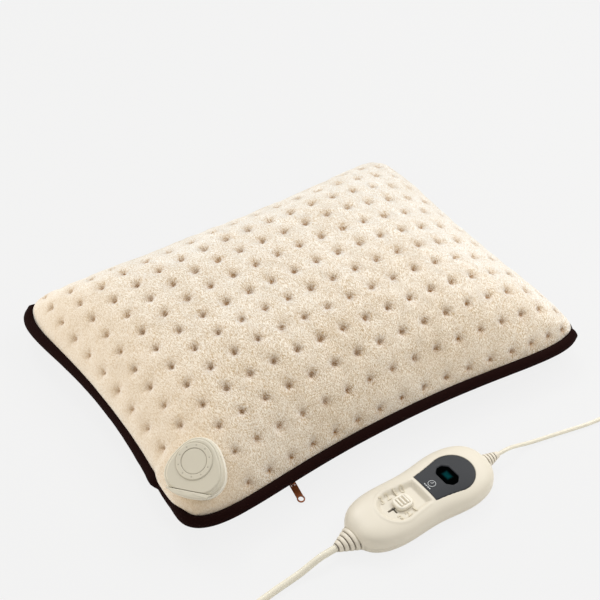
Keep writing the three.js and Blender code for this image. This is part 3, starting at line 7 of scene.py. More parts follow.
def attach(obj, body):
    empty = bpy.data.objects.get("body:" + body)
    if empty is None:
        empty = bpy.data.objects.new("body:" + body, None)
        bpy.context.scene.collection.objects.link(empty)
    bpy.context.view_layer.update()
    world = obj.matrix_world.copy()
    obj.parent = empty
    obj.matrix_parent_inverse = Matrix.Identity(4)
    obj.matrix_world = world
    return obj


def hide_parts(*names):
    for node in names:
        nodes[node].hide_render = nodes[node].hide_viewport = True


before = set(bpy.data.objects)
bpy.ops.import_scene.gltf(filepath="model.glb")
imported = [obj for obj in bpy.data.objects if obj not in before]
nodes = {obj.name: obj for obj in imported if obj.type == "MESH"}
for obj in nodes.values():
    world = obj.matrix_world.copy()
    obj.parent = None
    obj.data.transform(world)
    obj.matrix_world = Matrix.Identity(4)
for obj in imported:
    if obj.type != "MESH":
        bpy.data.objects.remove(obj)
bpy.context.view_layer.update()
mm = 0.001
mainBody = "cushion_and_leads"

# Camera: the photograph's view, fitted to the cushion's outline and its rows of tufts
view = {
    "place": (-465.93, -704.39, 802.96),
    "target": (26.27, 39.25, 0.0),
    "lens": 90.0,
}
cameraData = bpy.data.cameras.new("camera")
cameraData.lens = view["lens"]
cameraData.clip_end = 20
camera = bpy.data.objects.new("camera", cameraData)
bpy.context.scene.collection.objects.link(camera)
camera.location = Vector(view["place"]) * mm
aim = (Vector(view["target"]) - Vector(view["place"])).to_track_quat("-Z", "Y")
camera.rotation_euler = aim.to_euler()
bpy.context.scene.camera = camera
print("camera set")


# Mesh helpers: points are in millimetres in the row frame
def addMesh(name, points, faces, smooth=True, sharp=None):
    mesh = bpy.data.meshes.new(name)
    mesh.from_pydata((np.asarray(points, float) * mm).tolist(), [], [tuple(int(i) for i in f) for f in faces])
    mesh.update()
    if smooth:
        mesh.polygons.foreach_set("use_smooth", np.ones(len(mesh.polygons), bool))
    if sharp is not None:
        mesh.set_sharp_from_angle(angle=math.radians(sharp))
    obj = bpy.data.objects.new(name, mesh)
    bpy.context.scene.collection.objects.link(obj)
    return obj


def finishPiece(obj, material, replaced=(), body=mainBody):
    obj.data.materials.clear()
    obj.data.materials.append(material)
    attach(obj, body)
    if replaced:
        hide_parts(*replaced)
    return obj


def setMask(obj, name, values):
    layer = obj.data.attributes.new(name, "FLOAT", "POINT")
    layer.data.foreach_set("value", np.asarray(values, np.float32))


# Skin through rings of points; a cap is a single face
def loft(name, rings, capFirst=True, capLast=True, endless=False, sharp=None):
    rings = np.asarray(rings, float)
    count, sides = rings.shape[:2]
    index = np.arange(count * sides).reshape(count, sides)
    a, b = (index, np.roll(index, -1, 0)) if endless else (index[:-1], index[1:])
    faces = np.stack([a, np.roll(a, -1, 1), np.roll(b, -1, 1), b], -1).reshape(-1, 4).tolist()
    if capFirst and not endless:
        faces.append(index[0][::-1].tolist())
    if capLast and not endless:
        faces.append(index[-1].tolist())
    points = rings.reshape(-1, 3)
    if meshVolume(points, faces) < 0:
        faces = [f[::-1] for f in faces]
    return addMesh(name, points, faces, sharp=sharp)


def meshVolume(points, faces):
    total = 0.0
    quads = np.array([f for f in faces if len(f) == 4])
    if len(quads):
        p = points[quads]
        total += np.einsum("ij,ij->i", p[:, 0], np.cross(p[:, 1], p[:, 2])).sum()
        total += np.einsum("ij,ij->i", p[:, 0], np.cross(p[:, 2], p[:, 3])).sum()
    for f in faces:
        if len(f) != 4:
            ring = points[list(f)]
            total += np.einsum("ij,ij->i", np.repeat(ring[:1], len(ring) - 2, 0),
                               np.cross(ring[1:-1], ring[2:])).sum()
    return total


def smoothStep(t):
    t = np.clip(t, 0, 1)
    return t * t * (3 - 2 * t)


def bump(distance, width):
    return np.exp(-(distance / width) ** 2)


# Outward normals of a closed outline in the plane, listed counter-clockwise
def outlineNormals(outline):
    along = np.roll(outline, -1, 0) - np.roll(outline, 1, 0)
    normal = np.stack([along[:, 1], -along[:, 0]], 1)
    return normal / np.linalg.norm(normal, axis=1, keepdims=True)


# An outline as a ring at one height
def flatRing(outline, z):
    return np.column_stack([outline, np.full(len(outline), z)])


def outlineShift(outline, offset):
    return outline + outlineNormals(outline) * offset


# Signed distance from points to an outline, negative inside
def outlineDistance(points, outline):
    nextPoints = np.roll(outline, -1, 0)
    best = np.full(len(points), 1e9)
    inside = np.zeros(len(points), bool)
    for a, b in zip(outline, nextPoints):
        span = b - a
        t = np.clip(((points - a) @ span) / max(span @ span, 1e-12), 0, 1)
        best = np.minimum(best, np.linalg.norm(points - a - t[:, None] * span, axis=1))
        crosses = (a[1] > points[:, 1]) != (b[1] > points[:, 1])
        rise = b[1] - a[1] if abs(b[1] - a[1]) > 1e-12 else 1e-12
        inside ^= crosses & (points[:, 0] < a[0] + (points[:, 1] - a[1]) * span[0] / rise)
    return np.where(inside, -best, best)


# Rings of a slab over an outline with rounded edges, from its underside up to the middle of its top
slab = {"underInset": 0.6, "middleGap": 0.15}


def slabRings(outline, low, high, roundTop, roundLow, centre=None, inner=12, steps=5):
    centre = outline.mean(0) if centre is None else np.asarray(centre, float)
    rings = []

    def ring(inset, z):
        rings.append(flatRing(outlineShift(outline, -inset), z))

    ring(roundLow + slab["underInset"], low)
    for k in range(steps + 1):
        turn = math.pi / 2 * k / steps
        ring(roundLow * (1 - math.sin(turn)), low + roundLow * (1 - math.cos(turn)))
    for k in range(steps + 1):
        turn = math.pi / 2 * k / steps
        ring(roundTop * (1 - math.cos(turn)), high - roundTop * (1 - math.sin(turn)))
    edge = rings[-1][:, :2]
    for k in range(1, inner + 1):
        share = k / (inner + slab["middleGap"])
        rings.append(flatRing(edge + (centre - edge) * share, high))
    return np.array(rings)


# Points carried out of a frame, and back into it
def placed(rings, matrix):
    rings = np.asarray(rings, float)
    flat = rings.reshape(-1, 3)
    m = np.array(matrix)
    return (flat @ m[:3, :3].T + m[:3, 3]).reshape(rings.shape)


def inFrame(points, matrix):
    return placed(points, matrix.inverted())


# Evenly spaced points on a smooth curve through a route
def smoothRoute(route, spacing):
    route = np.asarray(route, float)
    padded = np.vstack([2 * route[0] - route[1], route, 2 * route[-1] - route[-2]])
    points = []
    for k in range(1, len(padded) - 2):
        p0, p1, p2, p3 = padded[k - 1:k + 3]
        parts = max(2, int(np.linalg.norm(p2 - p1) / spacing * 2))
        for t in np.arange(parts) / parts:
            points.append(0.5 * (2 * p1 + (p2 - p0) * t + (2 * p0 - 5 * p1 + 4 * p2 - p3) * t * t
                                 + (3 * p1 - p0 - 3 * p2 + p3) * t ** 3))
    points.append(route[-1])
    points = np.array(points)
    walked = np.concatenate([[0], np.cumsum(np.linalg.norm(np.diff(points, axis=0), axis=1))])
    marks = np.linspace(0, walked[-1], max(3, int(walked[-1] / spacing)) + 1)
    return np.column_stack([np.interp(marks, walked, points[:, i]) for i in range(3)])


# Rings of a round tube; radius may change along it
def tubeRings(points, radius, sides, endless=False):
    points = np.asarray(points, float)
    if endless:
        along = np.roll(points, -1, 0) - np.roll(points, 1, 0)
    else:
        along = np.gradient(points, axis=0)
    along /= np.linalg.norm(along, axis=1, keepdims=True)
    side = np.column_stack([-along[:, 1], along[:, 0], np.zeros(len(points))])
    side /= np.linalg.norm(side, axis=1, keepdims=True)
    rise = np.cross(along, side)
    turn = 2 * np.pi * (np.arange(sides) + 0.5) / sides
    radius = np.broadcast_to(np.asarray(radius, float), (len(points),))[:, None, None]
    return points[:, None] + radius * (side[:, None] * np.cos(turn)[None, :, None]
                                       + rise[:, None] * np.sin(turn)[None, :, None])


# Shader groups shared by several finishes
def newGroup(name, inputs, outputs):
    group = bpy.data.node_groups.new(name, "ShaderNodeTree")
    for label, value in inputs:
        socket = group.interface.new_socket(label, in_out="INPUT", socket_type="NodeSocketFloat")
        socket.default_value = value
    for label, kind in outputs:
        group.interface.new_socket(label, in_out="OUTPUT", socket_type=kind)
    given = group.nodes.new("NodeGroupInput")
    result = group.nodes.new("NodeGroupOutput")
    return group, given, result


def addNode(tree, kind, **settings):
    node = tree.nodes.new(kind)
    for key, value in settings.items():
        setattr(node, key, value)
    return node


def addMath(tree, operation, a, b=None):
    node = addNode(tree, "ShaderNodeMath", operation=operation)
    for socket, value in zip(node.inputs, (a, b)):
        if value is None:
            continue
        if isinstance(value, (int, float)):
            socket.default_value = value
        else:
            tree.links.new(value, socket)
    return node.outputs[0]


def addNoise(tree, vector, scale, detail=2.0, roughness=0.5):
    node = addNode(tree, "ShaderNodeTexNoise")
    node.inputs["Detail"].default_value = detail
    node.inputs["Roughness"].default_value = roughness
    tree.links.new(vector, node.inputs["Vector"])
    if isinstance(scale, (int, float)):
        node.inputs["Scale"].default_value = scale
    else:
        tree.links.new(scale, node.inputs["Scale"])
    return node


# Nap: short strands that swirl in patches; Height is for bump, Fibre lights the tips, Patch the brushed areas
napShape = {
    "strands": 1120.0, "patches": 30.0, "swirl": 0.006, "swirlScale": 70.0, "lie": math.radians(-28),
    "stretch": (1.6, 0.5, 1.0), "fibreFrom": 0.34, "fibreGain": 3.6,
}


def makeNapGroup():
    shape = napShape
    group, given, result = newGroup(
        "nap",
        [("Strand Scale", shape["strands"]), ("Patch Scale", shape["patches"]), ("Swirl", shape["swirl"])],
        [("Height", "NodeSocketFloat"), ("Fibre", "NodeSocketFloat"), ("Patch", "NodeSocketFloat")])
    coordinates = addNode(group, "ShaderNodeTexCoord")
    swirl = addNoise(group, coordinates.outputs["Object"], shape["swirlScale"], 1.0)
    centred = addNode(group, "ShaderNodeVectorMath", operation="SUBTRACT")
    centred.inputs[1].default_value = (0.5, 0.5, 0.5)
    group.links.new(swirl.outputs["Color"], centred.inputs[0])
    scaled = addNode(group, "ShaderNodeVectorMath", operation="SCALE")
    group.links.new(centred.outputs[0], scaled.inputs[0])
    group.links.new(given.outputs["Swirl"], scaled.inputs["Scale"])
    moved = addNode(group, "ShaderNodeVectorMath", operation="ADD")
    group.links.new(coordinates.outputs["Object"], moved.inputs[0])
    group.links.new(scaled.outputs[0], moved.inputs[1])
    stretched = addNode(group, "ShaderNodeMapping")
    stretched.inputs["Rotation"].default_value = (0.0, 0.0, shape["lie"])
    stretched.inputs["Scale"].default_value = shape["stretch"]
    group.links.new(moved.outputs[0], stretched.inputs["Vector"])
    strands = addNoise(group, stretched.outputs[0], given.outputs["Strand Scale"], 1.5, 0.6)
    patches = addNoise(group, coordinates.outputs["Object"], given.outputs["Patch Scale"], 2.0)
    fibre = addMath(group, "SUBTRACT", strands.outputs[0], shape["fibreFrom"])
    fibre = addMath(group, "MULTIPLY", fibre, shape["fibreGain"])
    clamped = addMath(group, "MINIMUM", addMath(group, "MAXIMUM", fibre, 0.0), 1.0)
    group.links.new(strands.outputs[0], result.inputs["Height"])
    group.links.new(clamped, result.inputs["Fibre"])
    group.links.new(patches.outputs[0], result.inputs["Patch"])
    return group


# Grain: fine moulded or woven unevenness; Height is for bump, Tone varies the colour, Gloss the roughness
def makeGrainGroup():
    group, given, result = newGroup(
        "grain", [("Grain Scale", 900.0), ("Tone Scale", 22.0), ("Rough", 0.4), ("Rough Spread", 0.1)],
        [("Height", "NodeSocketFloat"), ("Tone", "NodeSocketFloat"), ("Gloss", "NodeSocketFloat")])
    coordinates = addNode(group, "ShaderNodeTexCoord")
    grain = addNoise(group, coordinates.outputs["Object"], given.outputs["Grain Scale"], 3.0)
    tone = addNoise(group, coordinates.outputs["Object"], given.outputs["Tone Scale"], 3.0)
    spread = addMath(group, "MULTIPLY", addMath(group, "SUBTRACT", tone.outputs[0], 0.5),
                     given.outputs["Rough Spread"])
    gloss = addMath(group, "ADD", given.outputs["Rough"], spread)
    group.links.new(grain.outputs[0], result.inputs["Height"])
    group.links.new(tone.outputs[0], result.inputs["Tone"])
    group.links.new(gloss, result.inputs["Gloss"])
    return group


# Weave: crossed threads for tapes and straps
def makeWeaveGroup():
    group, given, result = newGroup(
        "weave", [("Thread Scale", 900.0)],
        [("Height", "NodeSocketFloat"), ("Thread", "NodeSocketFloat")])
    coordinates = addNode(group, "ShaderNodeTexCoord")
    waves = []
    for direction in ("X", "Y"):
        wave = addNode(group, "ShaderNodeTexWave", wave_type="BANDS", bands_direction=direction)
        wave.inputs["Distortion"].default_value = 0.4
        group.links.new(coordinates.outputs["Object"], wave.inputs["Vector"])
        group.links.new(given.outputs["Thread Scale"], wave.inputs["Scale"])
        waves.append(wave.outputs["Fac"])
    height = addMath(group, "MAXIMUM", waves[0], waves[1])
    thread = addMath(group, "MULTIPLY", waves[0], waves[1])
    group.links.new(height, result.inputs["Height"])
    group.links.new(thread, result.inputs["Thread"])
    return group


napGroup = makeNapGroup()
grainGroup = makeGrainGroup()
weaveGroup = makeWeaveGroup()


def colour(text):
    channels = [int(text[i:i + 2], 16) / 255 for i in (0, 2, 4)]
    return tuple(c / 12.92 if c <= 0.04045 else ((c + 0.055) / 1.055) ** 2.4 for c in channels) + (1.0,)


def newMaterial(name, fixed):
    material = bpy.data.materials.new(name)
    material.use_nodes = True
    shader = material.node_tree.nodes["Principled BSDF"]
    for label, value in fixed.items():
        shader.inputs[label].default_value = value
    return material, material.node_tree, shader


def mixColours(tree, factor, first, second):
    mix = addNode(tree, "ShaderNodeMix", data_type="RGBA")
    for socket, value in ((mix.inputs["Factor"], factor), (mix.inputs[6], first), (mix.inputs[7], second)):
        if isinstance(value, (int, float, tuple)):
            socket.default_value = value
        else:
            tree.links.new(value, socket)
    return mix.outputs[2]


def addBump(tree, shader, height, strength, distance):
    node = addNode(tree, "ShaderNodeBump")
    node.inputs["Strength"].default_value = strength
    node.inputs["Distance"].default_value = distance
    tree.links.new(height, node.inputs["Height"])
    tree.links.new(node.outputs[0], shader.inputs["Normal"])


# Moulded plastic, rubber or metal: one colour with slight tone and gloss changes and a fine grain
def mouldedFinish(name, dark, light, rough, spread=0.08, grain=900.0, depth=0.03, fixed=None):
    material, tree, shader = newMaterial(name, fixed or {})
    group = addNode(tree, "ShaderNodeGroup", node_tree=grainGroup)
    group.inputs["Grain Scale"].default_value = grain
    group.inputs["Rough"].default_value = rough
    group.inputs["Rough Spread"].default_value = spread
    tone = mixColours(tree, group.outputs["Tone"], colour(dark), colour(light))
    tree.links.new(tone, shader.inputs["Base Color"])
    tree.links.new(group.outputs["Gloss"], shader.inputs["Roughness"])
    addBump(tree, shader, group.outputs["Height"], 0.25, depth * mm)
    return material


# The same, with a darker colour where a named mask on the mesh is high: painted shade in pits, grooves,
# slots, wells and along the panel's edge
def maskedFinish(name, dark, light, mask, paintedShadeColour, rough, **options):
    material = mouldedFinish(name, dark, light, rough, **options)
    tree = material.node_tree
    shader = tree.nodes["Principled BSDF"]
    ground = shader.inputs["Base Color"].links[0].from_socket
    attribute = addNode(tree, "ShaderNodeAttribute", attribute_name=mask)
    mixed = mixColours(tree, attribute.outputs["Fac"], ground, colour(paintedShadeColour))
    tree.links.new(mixed, shader.inputs["Base Color"])
    return material


# Fleece: nap strands between two tones, both lighter where it is seen along its surface as a painted sheen,
# browner in the tufts as painted shade.
# The mask raised is 1 where the strands stand upright and 0 where they lie flat and show one even tone.
fleece = {
    "paintedSheenFrom": 0.12, "paintedSheenGain": 1.8, "paintedSheenMost": 0.95, "patchGain": 0.5, "evenStrand": 0.36,
    "tuftTop": 1.3, "tuftRagged": 0.75, "tuftLaid": 0.45, "napDepth": 0.85,
}


def fleeceFinish(name, gapColours, tipColours, tuftShadeColour):
    material, tree, shader = newMaterial(name, {
        "Roughness": 0.95, "Specular IOR Level": 0.1, "Sheen Weight": 0.6, "Sheen Roughness": 0.4,
        "Sheen Tint": (1.0, 0.98, 0.95, 1.0)})
    nap = addNode(tree, "ShaderNodeGroup", node_tree=napGroup)
    slant = addNode(tree, "ShaderNodeLayerWeight")
    slant.inputs["Blend"].default_value = 0.5
    # Painted sheen: both tones turn lighter where the surface is seen edge-on
    paintedSheen = addMath(tree, "SUBTRACT", slant.outputs["Facing"], fleece["paintedSheenFrom"])
    paintedSheen = addMath(tree, "MAXIMUM", addMath(tree, "MULTIPLY", paintedSheen, fleece["paintedSheenGain"]), 0.0)
    paintedSheen = addMath(tree, "MINIMUM", paintedSheen, fleece["paintedSheenMost"])
    gap = mixColours(tree, paintedSheen, colour(gapColours[0]), colour(gapColours[1]))
    tip = mixColours(tree, paintedSheen, colour(tipColours[0]), colour(tipColours[1]))
    patch = addMath(tree, "SUBTRACT", nap.outputs["Patch"], 0.5)
    strand = addMath(tree, "ADD", nap.outputs["Fibre"], addMath(tree, "MULTIPLY", patch, fleece["patchGain"]))
    raised = addNode(tree, "ShaderNodeAttribute", attribute_name="raised").outputs["Fac"]
    strand = addMath(tree, "MULTIPLY", addMath(tree, "SUBTRACT", strand, fleece["evenStrand"]), raised)
    strand = addMath(tree, "ADD", strand, fleece["evenStrand"])
    strands = mixColours(tree, strand, gap, tip)
    # Painted shade in the tuft hollows, weaker where the strands lie flat
    tuft = addNode(tree, "ShaderNodeAttribute", attribute_name="tuft")
    ragged = addMath(tree, "MULTIPLY", nap.outputs["Fibre"], fleece["tuftRagged"])
    ragged = addMath(tree, "SUBTRACT", fleece["tuftTop"], ragged)
    shown = addMath(tree, "MULTIPLY", raised, 1 - fleece["tuftLaid"])
    shown = addMath(tree, "ADD", shown, fleece["tuftLaid"])
    dark = addMath(tree, "MULTIPLY", addMath(tree, "MULTIPLY", tuft.outputs["Fac"], ragged), shown)
    dark = addMath(tree, "MINIMUM", dark, 1.0)
    tree.links.new(mixColours(tree, dark, strands, colour(tuftShadeColour)), shader.inputs["Base Color"])
    height = addMath(tree, "MULTIPLY", nap.outputs["Height"], raised)
    addBump(tree, shader, height, 1.0, fleece["napDepth"] * mm)
    return material


def clothFinish(name, dark, light, threads, depth=0.15):
    material, tree, shader = newMaterial(name, {
        "Roughness": 0.9, "Specular IOR Level": 0.08})
    weave = addNode(tree, "ShaderNodeGroup", node_tree=weaveGroup)
    weave.inputs["Thread Scale"].default_value = threads
    tree.links.new(mixColours(tree, weave.outputs["Thread"], colour(dark), colour(light)),
                   shader.inputs["Base Color"])
    addBump(tree, shader, weave.outputs["Height"], 0.5, depth * mm)
    return material


finishes = {
    # Fleece tones: the second of each pair is the painted sheen, the last colour is the painted shade in the
    # tufts
    "fleece": fleeceFinish("creamFleece", ("c9ae88", "dac9b0"), ("fff5e6", "fffefa"), "98682a"),
    "piping": clothFinish("darkPiping", "100201", "280b07", 420.0, depth=0.4),
    "tape": clothFinish("zipTape", "1d0a07", "371712", 620.0),
    "teeth": mouldedFinish("zipTeeth", "200c08", "351710", 0.45),
    "zipMetal": mouldedFinish("copperBrownMetal", "84441f", "ac6840", 0.34,
                              fixed={"Metallic": 0.6, "Coat Weight": 0.2}),
    # The rim's finish is lighter than the plate's: a painted highlight on the base's edge band
    "rim": maskedFinish("plateRimPaintedHighlight", "e8e2d3", "f1ece0", "pit", "8f8674", 0.38),
    # The plate's pit mask is painted shade in its dots and grooves
    "plate": maskedFinish("plateCream", "d3ccba", "dad4c3", "pit", "8f8674", 0.42),
    "case": maskedFinish("caseCream", "dad2c3", "e2dccd", "shade", "554d40", 0.42,
                         fixed={"Specular IOR Level": 0.35}),
    "knob": maskedFinish("knobCream", "e6e0d1", "ece6d8", "shade", "c9bfab", 0.4),
    "mark": mouldedFinish("numberPaintedShadeCream", "d3cab5", "dad1bd", 0.5),
    "panel": mouldedFinish("panelGrey", "26282c", "313337", 0.42, grain=1500.0,
                           fixed={"Specular IOR Level": 0.2}),
    "printed": mouldedFinish("printWhite", "c4c7ca", "d2d5d8", 0.5),
    "boot": maskedFinish("bootCream", "ddd5c5", "e6dfd0", "groove", "5d5142", 0.45),
    "cord": mouldedFinish("cordCream", "ded8c6", "e9e4d4", 0.42, fixed={"Coat Weight": 0.1}),
    "strap": mouldedFinish("tieStrap", "e4e2da", "efede6", 0.5),
    "pin": mouldedFinish("platedPin", "c3b08a", "d6c7a4", 0.25, fixed={"Metallic": 1.0}),
    "steel": mouldedFinish("plainSteel", "8e8e8c", "a6a6a4", 0.3, fixed={"Metallic": 1.0}),
    "board": mouldedFinish("boardGreen", "264f33", "31623f", 0.5),
    "black": mouldedFinish("blackMoulding", "18181a", "232326", 0.45),
    "tube": mouldedFinish("displayTeal", "0a4244", "105254", 0.15),
    "lining": clothFinish("whiteLining", "e9e6df", "f6f3ed", 800.0),
    "felt": clothFinish("greyFelt", "cfcbc0", "dedad0", 300.0),
    "wire": mouldedFinish("wireSleeve", "d2ccbe", "dcd6c9", 0.5),
}


def lensFinish():
    material, tree, shader = newMaterial("blackLens", {
        "Roughness": 0.12, "Specular IOR Level": 0.0})
    glow = addNode(tree, "ShaderNodeAttribute", attribute_name="glow")
    grain = addNode(tree, "ShaderNodeGroup", node_tree=grainGroup)
    grain.inputs["Tone Scale"].default_value = 300.0
    teal = mixColours(tree, grain.outputs["Tone"], colour("04282b"), colour("083f43"))
    tree.links.new(mixColours(tree, glow.outputs["Fac"], colour("020303"), teal), shader.inputs["Base Color"])
    return material


finishes["lens"] = lensFinish()
print("finishes made:", len(finishes))


# Gives solids that keep their own shape a finish
def dress(finish, names):
    for name in names:
        nodes[name].data.materials.clear()
        nodes[name].data.materials.append(finishes[finish])


# Leads: the routes are those of the solids; the coils are wound in layers like them
mainsLead = {
    "diameter": 5.0, "length": 1.8, "coilCentre": (-205.0, -236.0), "coilRadius": 27.5, "pitch": 5.6,
    "layers": 4, "turns": 9.5, "way": 1, "firstHeight": 3.85,
    "route": [
        (-94.5, -187.95, 7.6), (-103.1, -188.3, 7.6), (-107.5, -188.5, 7.4), (-113, -188.8, 6.3),
        (-119, -189.2, 4.7), (-126, -189.7, 3.2), (-134, -190.4, 2.6), (-142.6, -191.4, 2.6),
        (-151, -192.6, 2.6), (-160, -194, 2.7), (-168, -195.9, 2.8), (-176, -198.2, 3),
        (-183.5, -200.2, 3.3), (-191, -201.4, 3.6), (-198.8, -201.7, 3.85),
    ],
    "tail": [
        (-198.8, -270.3, 20.65), (-193.5, -270.5, 20.5), (-187, -271, 19.6), (-180.5, -271.7, 17.7),
        (-174, -272.6, 15), (-167.5, -273.8, 12.1), (-161, -275, 9), (-155, -276.1, 7.3),
        (-149.5, -277.1, 7),
    ],
}
padLead = {
    "diameter": 3.0, "length": 0.69, "coilCentre": (170.0, -213.5), "coilRadius": 16.5, "pitch": 3.52,
    "layers": 2, "turns": 5.25, "way": -1, "firstHeight": 2.85,
    "route": [
        (46.0, -182.3, 7.6), (51.7, -182.1, 7.6), (57, -181.9, 7.4), (62.5, -181.8, 6.4), (68.5, -181.9, 4.7),
        (75, -182.3, 3), (82, -183.1, 2), (91.5, -184.7, 1.6), (101, -186.5, 1.6),
        (111.5, -188.6, 1.6), (121.5, -190.6, 1.6), (131, -192, 1.6), (140, -192.8, 1.8),
        (149, -193, 2.1), (158, -192.7, 2.6), (166.1, -192.35, 2.85),
    ],
    "tail": [
        (191.1, -217.4, 6.25), (191.15, -221, 6.1), (191.2, -225.5, 5.4), (191.2, -230, 4.7),
        (191.2, -234.5, 4.25), (191.2, -239, 4.1),
    ],
}


def coilPoints(lead, stepsPerTurn=36):
    perLayer = lead["turns"] / lead["layers"]
    count = int(lead["turns"] * stepsPerTurn)
    points = []
    for k in range(count + 1):
        turn = lead["turns"] * k / count
        phase = turn / perLayer
        layer = min(int(phase), lead["layers"] - 1)
        within = phase - layer
        drawn = within if layer % 2 == 0 else 1 - within
        radius = lead["coilRadius"] + lead["pitch"] * perLayer * (0.5 - drawn)
        reversal = round(phase)
        offset = (phase - reversal) * perLayer * 2
        climbing = 0 < reversal < lead["layers"] and abs(offset) < 0.5
        level = reversal - 0.5 + offset if climbing else layer
        angle = math.pi / 2 + lead["way"] * 2 * math.pi * turn
        points.append((lead["coilCentre"][0] + radius * math.cos(angle),
                       lead["coilCentre"][1] + radius * math.sin(angle),
                       lead["firstHeight"] + lead["pitch"] * level))
    return np.array(points)


def buildLead(name, lead, replaced):
    path = np.vstack([lead["route"], coilPoints(lead), lead["tail"]])
    keep = [0]
    for k in range(1, len(path)):
        if np.linalg.norm(path[k] - path[keep[-1]]) > 1.5:
            keep.append(k)
    points = smoothRoute(path[keep], 2.0)
    curve = bpy.data.curves.new(name, "CURVE")
    curve.dimensions = "3D"
    spline = curve.splines.new("POLY")
    spline.points.add(len(points) - 1)
    spline.points.foreach_set("co", np.column_stack([points * mm, np.ones(len(points))]).ravel())
    curve.bevel_depth = lead["diameter"] / 2 * mm
    curve.bevel_resolution = 4
    curve.use_fill_caps = True
    obj = bpy.data.objects.new(name, curve)
    bpy.context.scene.collection.objects.link(obj)
    curve.materials.append(finishes["cord"])
    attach(obj, mainBody)
    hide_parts(*replaced)
    spans = np.linalg.norm(np.diff(points, axis=0), axis=1)
    print(name, "length", round(float(spans.sum()), 1), "mm")
    return obj


mainsCord = buildLead("mainsCord", mainsLead, ["mains_lead", "mains_coil", "mains_tail"])
padCord = buildLead("padCord", padLead, ["pad_lead", "pad_coil", "pad_tail"])


# Strap round a coil's section: a rounded band
tie = {"play": 0.35, "corner": 1.8, "thickness": 0.9, "halfWidth": 2.0, "floorGap": 0.1, "steps": 96}


def buildTie(name, lead, side, replaced):
    wide = (lead["pitch"] * lead["turns"] / lead["layers"] + lead["diameter"]) / 2 + tie["play"]
    high = lead["pitch"] * (lead["layers"] - 1) + lead["diameter"] + 2 * tie["play"]
    middle = (lead["coilCentre"][0] + side * lead["coilRadius"], lead["coilCentre"][1],
              tie["floorGap"] + tie["thickness"] + high / 2)
    corner, thick, half = tie["corner"], tie["thickness"], tie["halfWidth"]
    band = ((-half, 0.15), (-half + 0.25, 0), (half - 0.25, 0), (half, 0.15),
            (half, thick - 0.25), (half - 0.4, thick), (-half + 0.4, thick), (-half, thick - 0.25))
    rings = []
    for k in range(tie["steps"]):
        turn = 2 * math.pi * k / tie["steps"]
        out = np.array([math.cos(turn), math.sin(turn)])
        base = np.sign(out) * (wide - corner, high / 2 - corner)
        section = []
        for across, depth in band:
            xz = base + out * (corner + depth)
            section.append((middle[0] + xz[0], middle[1] + across, middle[2] + xz[1]))
        rings.append(section)
    obj = loft(name, rings, endless=True, sharp=50)
    return finishPiece(obj, finishes["strap"], replaced)


mainsTie = buildTie("mainsTie", mainsLead, 1, ["mains_tie"])
padTie = buildTie("padTie", padLead, -1, ["pad_tie"])


# Ribbed strain relief along +x from x = 0, oval at its root and round at its tip, with painted shade in its
# grooves
boot = {
    "stepsPerRib": 14, "tipSteps": 12, "groovePlace": 0.84, "grooveWidth": 0.15, "grooveDepth": 0.2,
    "crownShare": 0.7, "crownRise": 0.03, "seatShare": 0.6,
}


def bootRings(radius, tipRadius, length, ribs, wide=1.0, ribbedShare=0.72, seat=0.0, sides=64):
    ribbed = length * ribbedShare
    pitch = ribbed / ribs
    xs = np.unique(np.concatenate([np.linspace(0, ribbed, ribs * boot["stepsPerRib"] + 1),
                                   np.linspace(ribbed, length, boot["tipSteps"])]))
    low = radius + (tipRadius - radius) * xs / length
    across = radius * wide + (tipRadius - radius * wide) * xs / length
    phase = (xs % pitch) / pitch
    onRib = xs < ribbed - 1e-6
    groove = smoothStep(1.2 - np.abs(phase - boot["groovePlace"]) / boot["grooveWidth"])
    crown = boot["crownRise"] * np.sin(np.pi * np.clip(phase / boot["crownShare"], 0, 1))
    groove, crown = np.where(onRib, groove, 0), np.where(onRib, crown, 0)
    factor = 1 + crown - boot["grooveDepth"] * groove
    turns = 2 * np.pi * np.arange(sides) / sides
    rings = [np.column_stack([np.full(sides, x), a * f * np.cos(turns), r * f * np.sin(turns)])
             for x, a, r, f in zip(xs, across, low, factor)]
    # The groove mask is painted shade in the grooves
    marks = np.repeat(groove, sides)
    if seat:
        seated = boot["seatShare"] * radius
        root = np.column_stack([np.full(sides, -seat), seated * np.cos(turns), seated * np.sin(turns)])
        rings.insert(0, root)
        marks = np.concatenate([np.zeros(sides), marks])
    return np.array(rings), marks


def buildBoot(name, matrix, slot, replaced, **shape):
    rings, marks = bootRings(**shape)
    obj = loft(name, placed(rings, matrix))
    setMask(obj, "groove", marks)
    return finishPiece(obj, finishes["boot"], replaced)


# Frame that faces the other way along x
def turnedBack(matrix, place):
    return matrix @ Matrix.Translation(place) @ Matrix.Rotation(math.pi, 4, "Z")


controllerFrame = Matrix.Translation((-23.9, -185.1, 0)) @ Matrix.Rotation(math.radians(2.3), 4, "Z")
buildBoot("mainsBoot", turnedBack(controllerFrame, (-54.6, 0, 7.6)), "boot_vinyl", ["mains_boot"],
          radius=7.4, wide=1.55, tipRadius=3.1, length=17.0, ribs=5, ribbedShare=1.0, seat=3.0)
buildBoot("padBoot", controllerFrame @ Matrix.Translation((55.6, 0, 7.6)), "boot_vinyl", ["pad_boot"],
          radius=6.4, wide=1.06, tipRadius=2.4, length=16.5, ribs=5, ribbedShare=0.8, seat=4.0)


# Flat plug body along +x: narrow at the cord, full at the face, with the face's edge drawn in
plug = {"power": 2.93, "swellShare": 0.55, "faceDraw": 0.05, "faceSteps": 4}


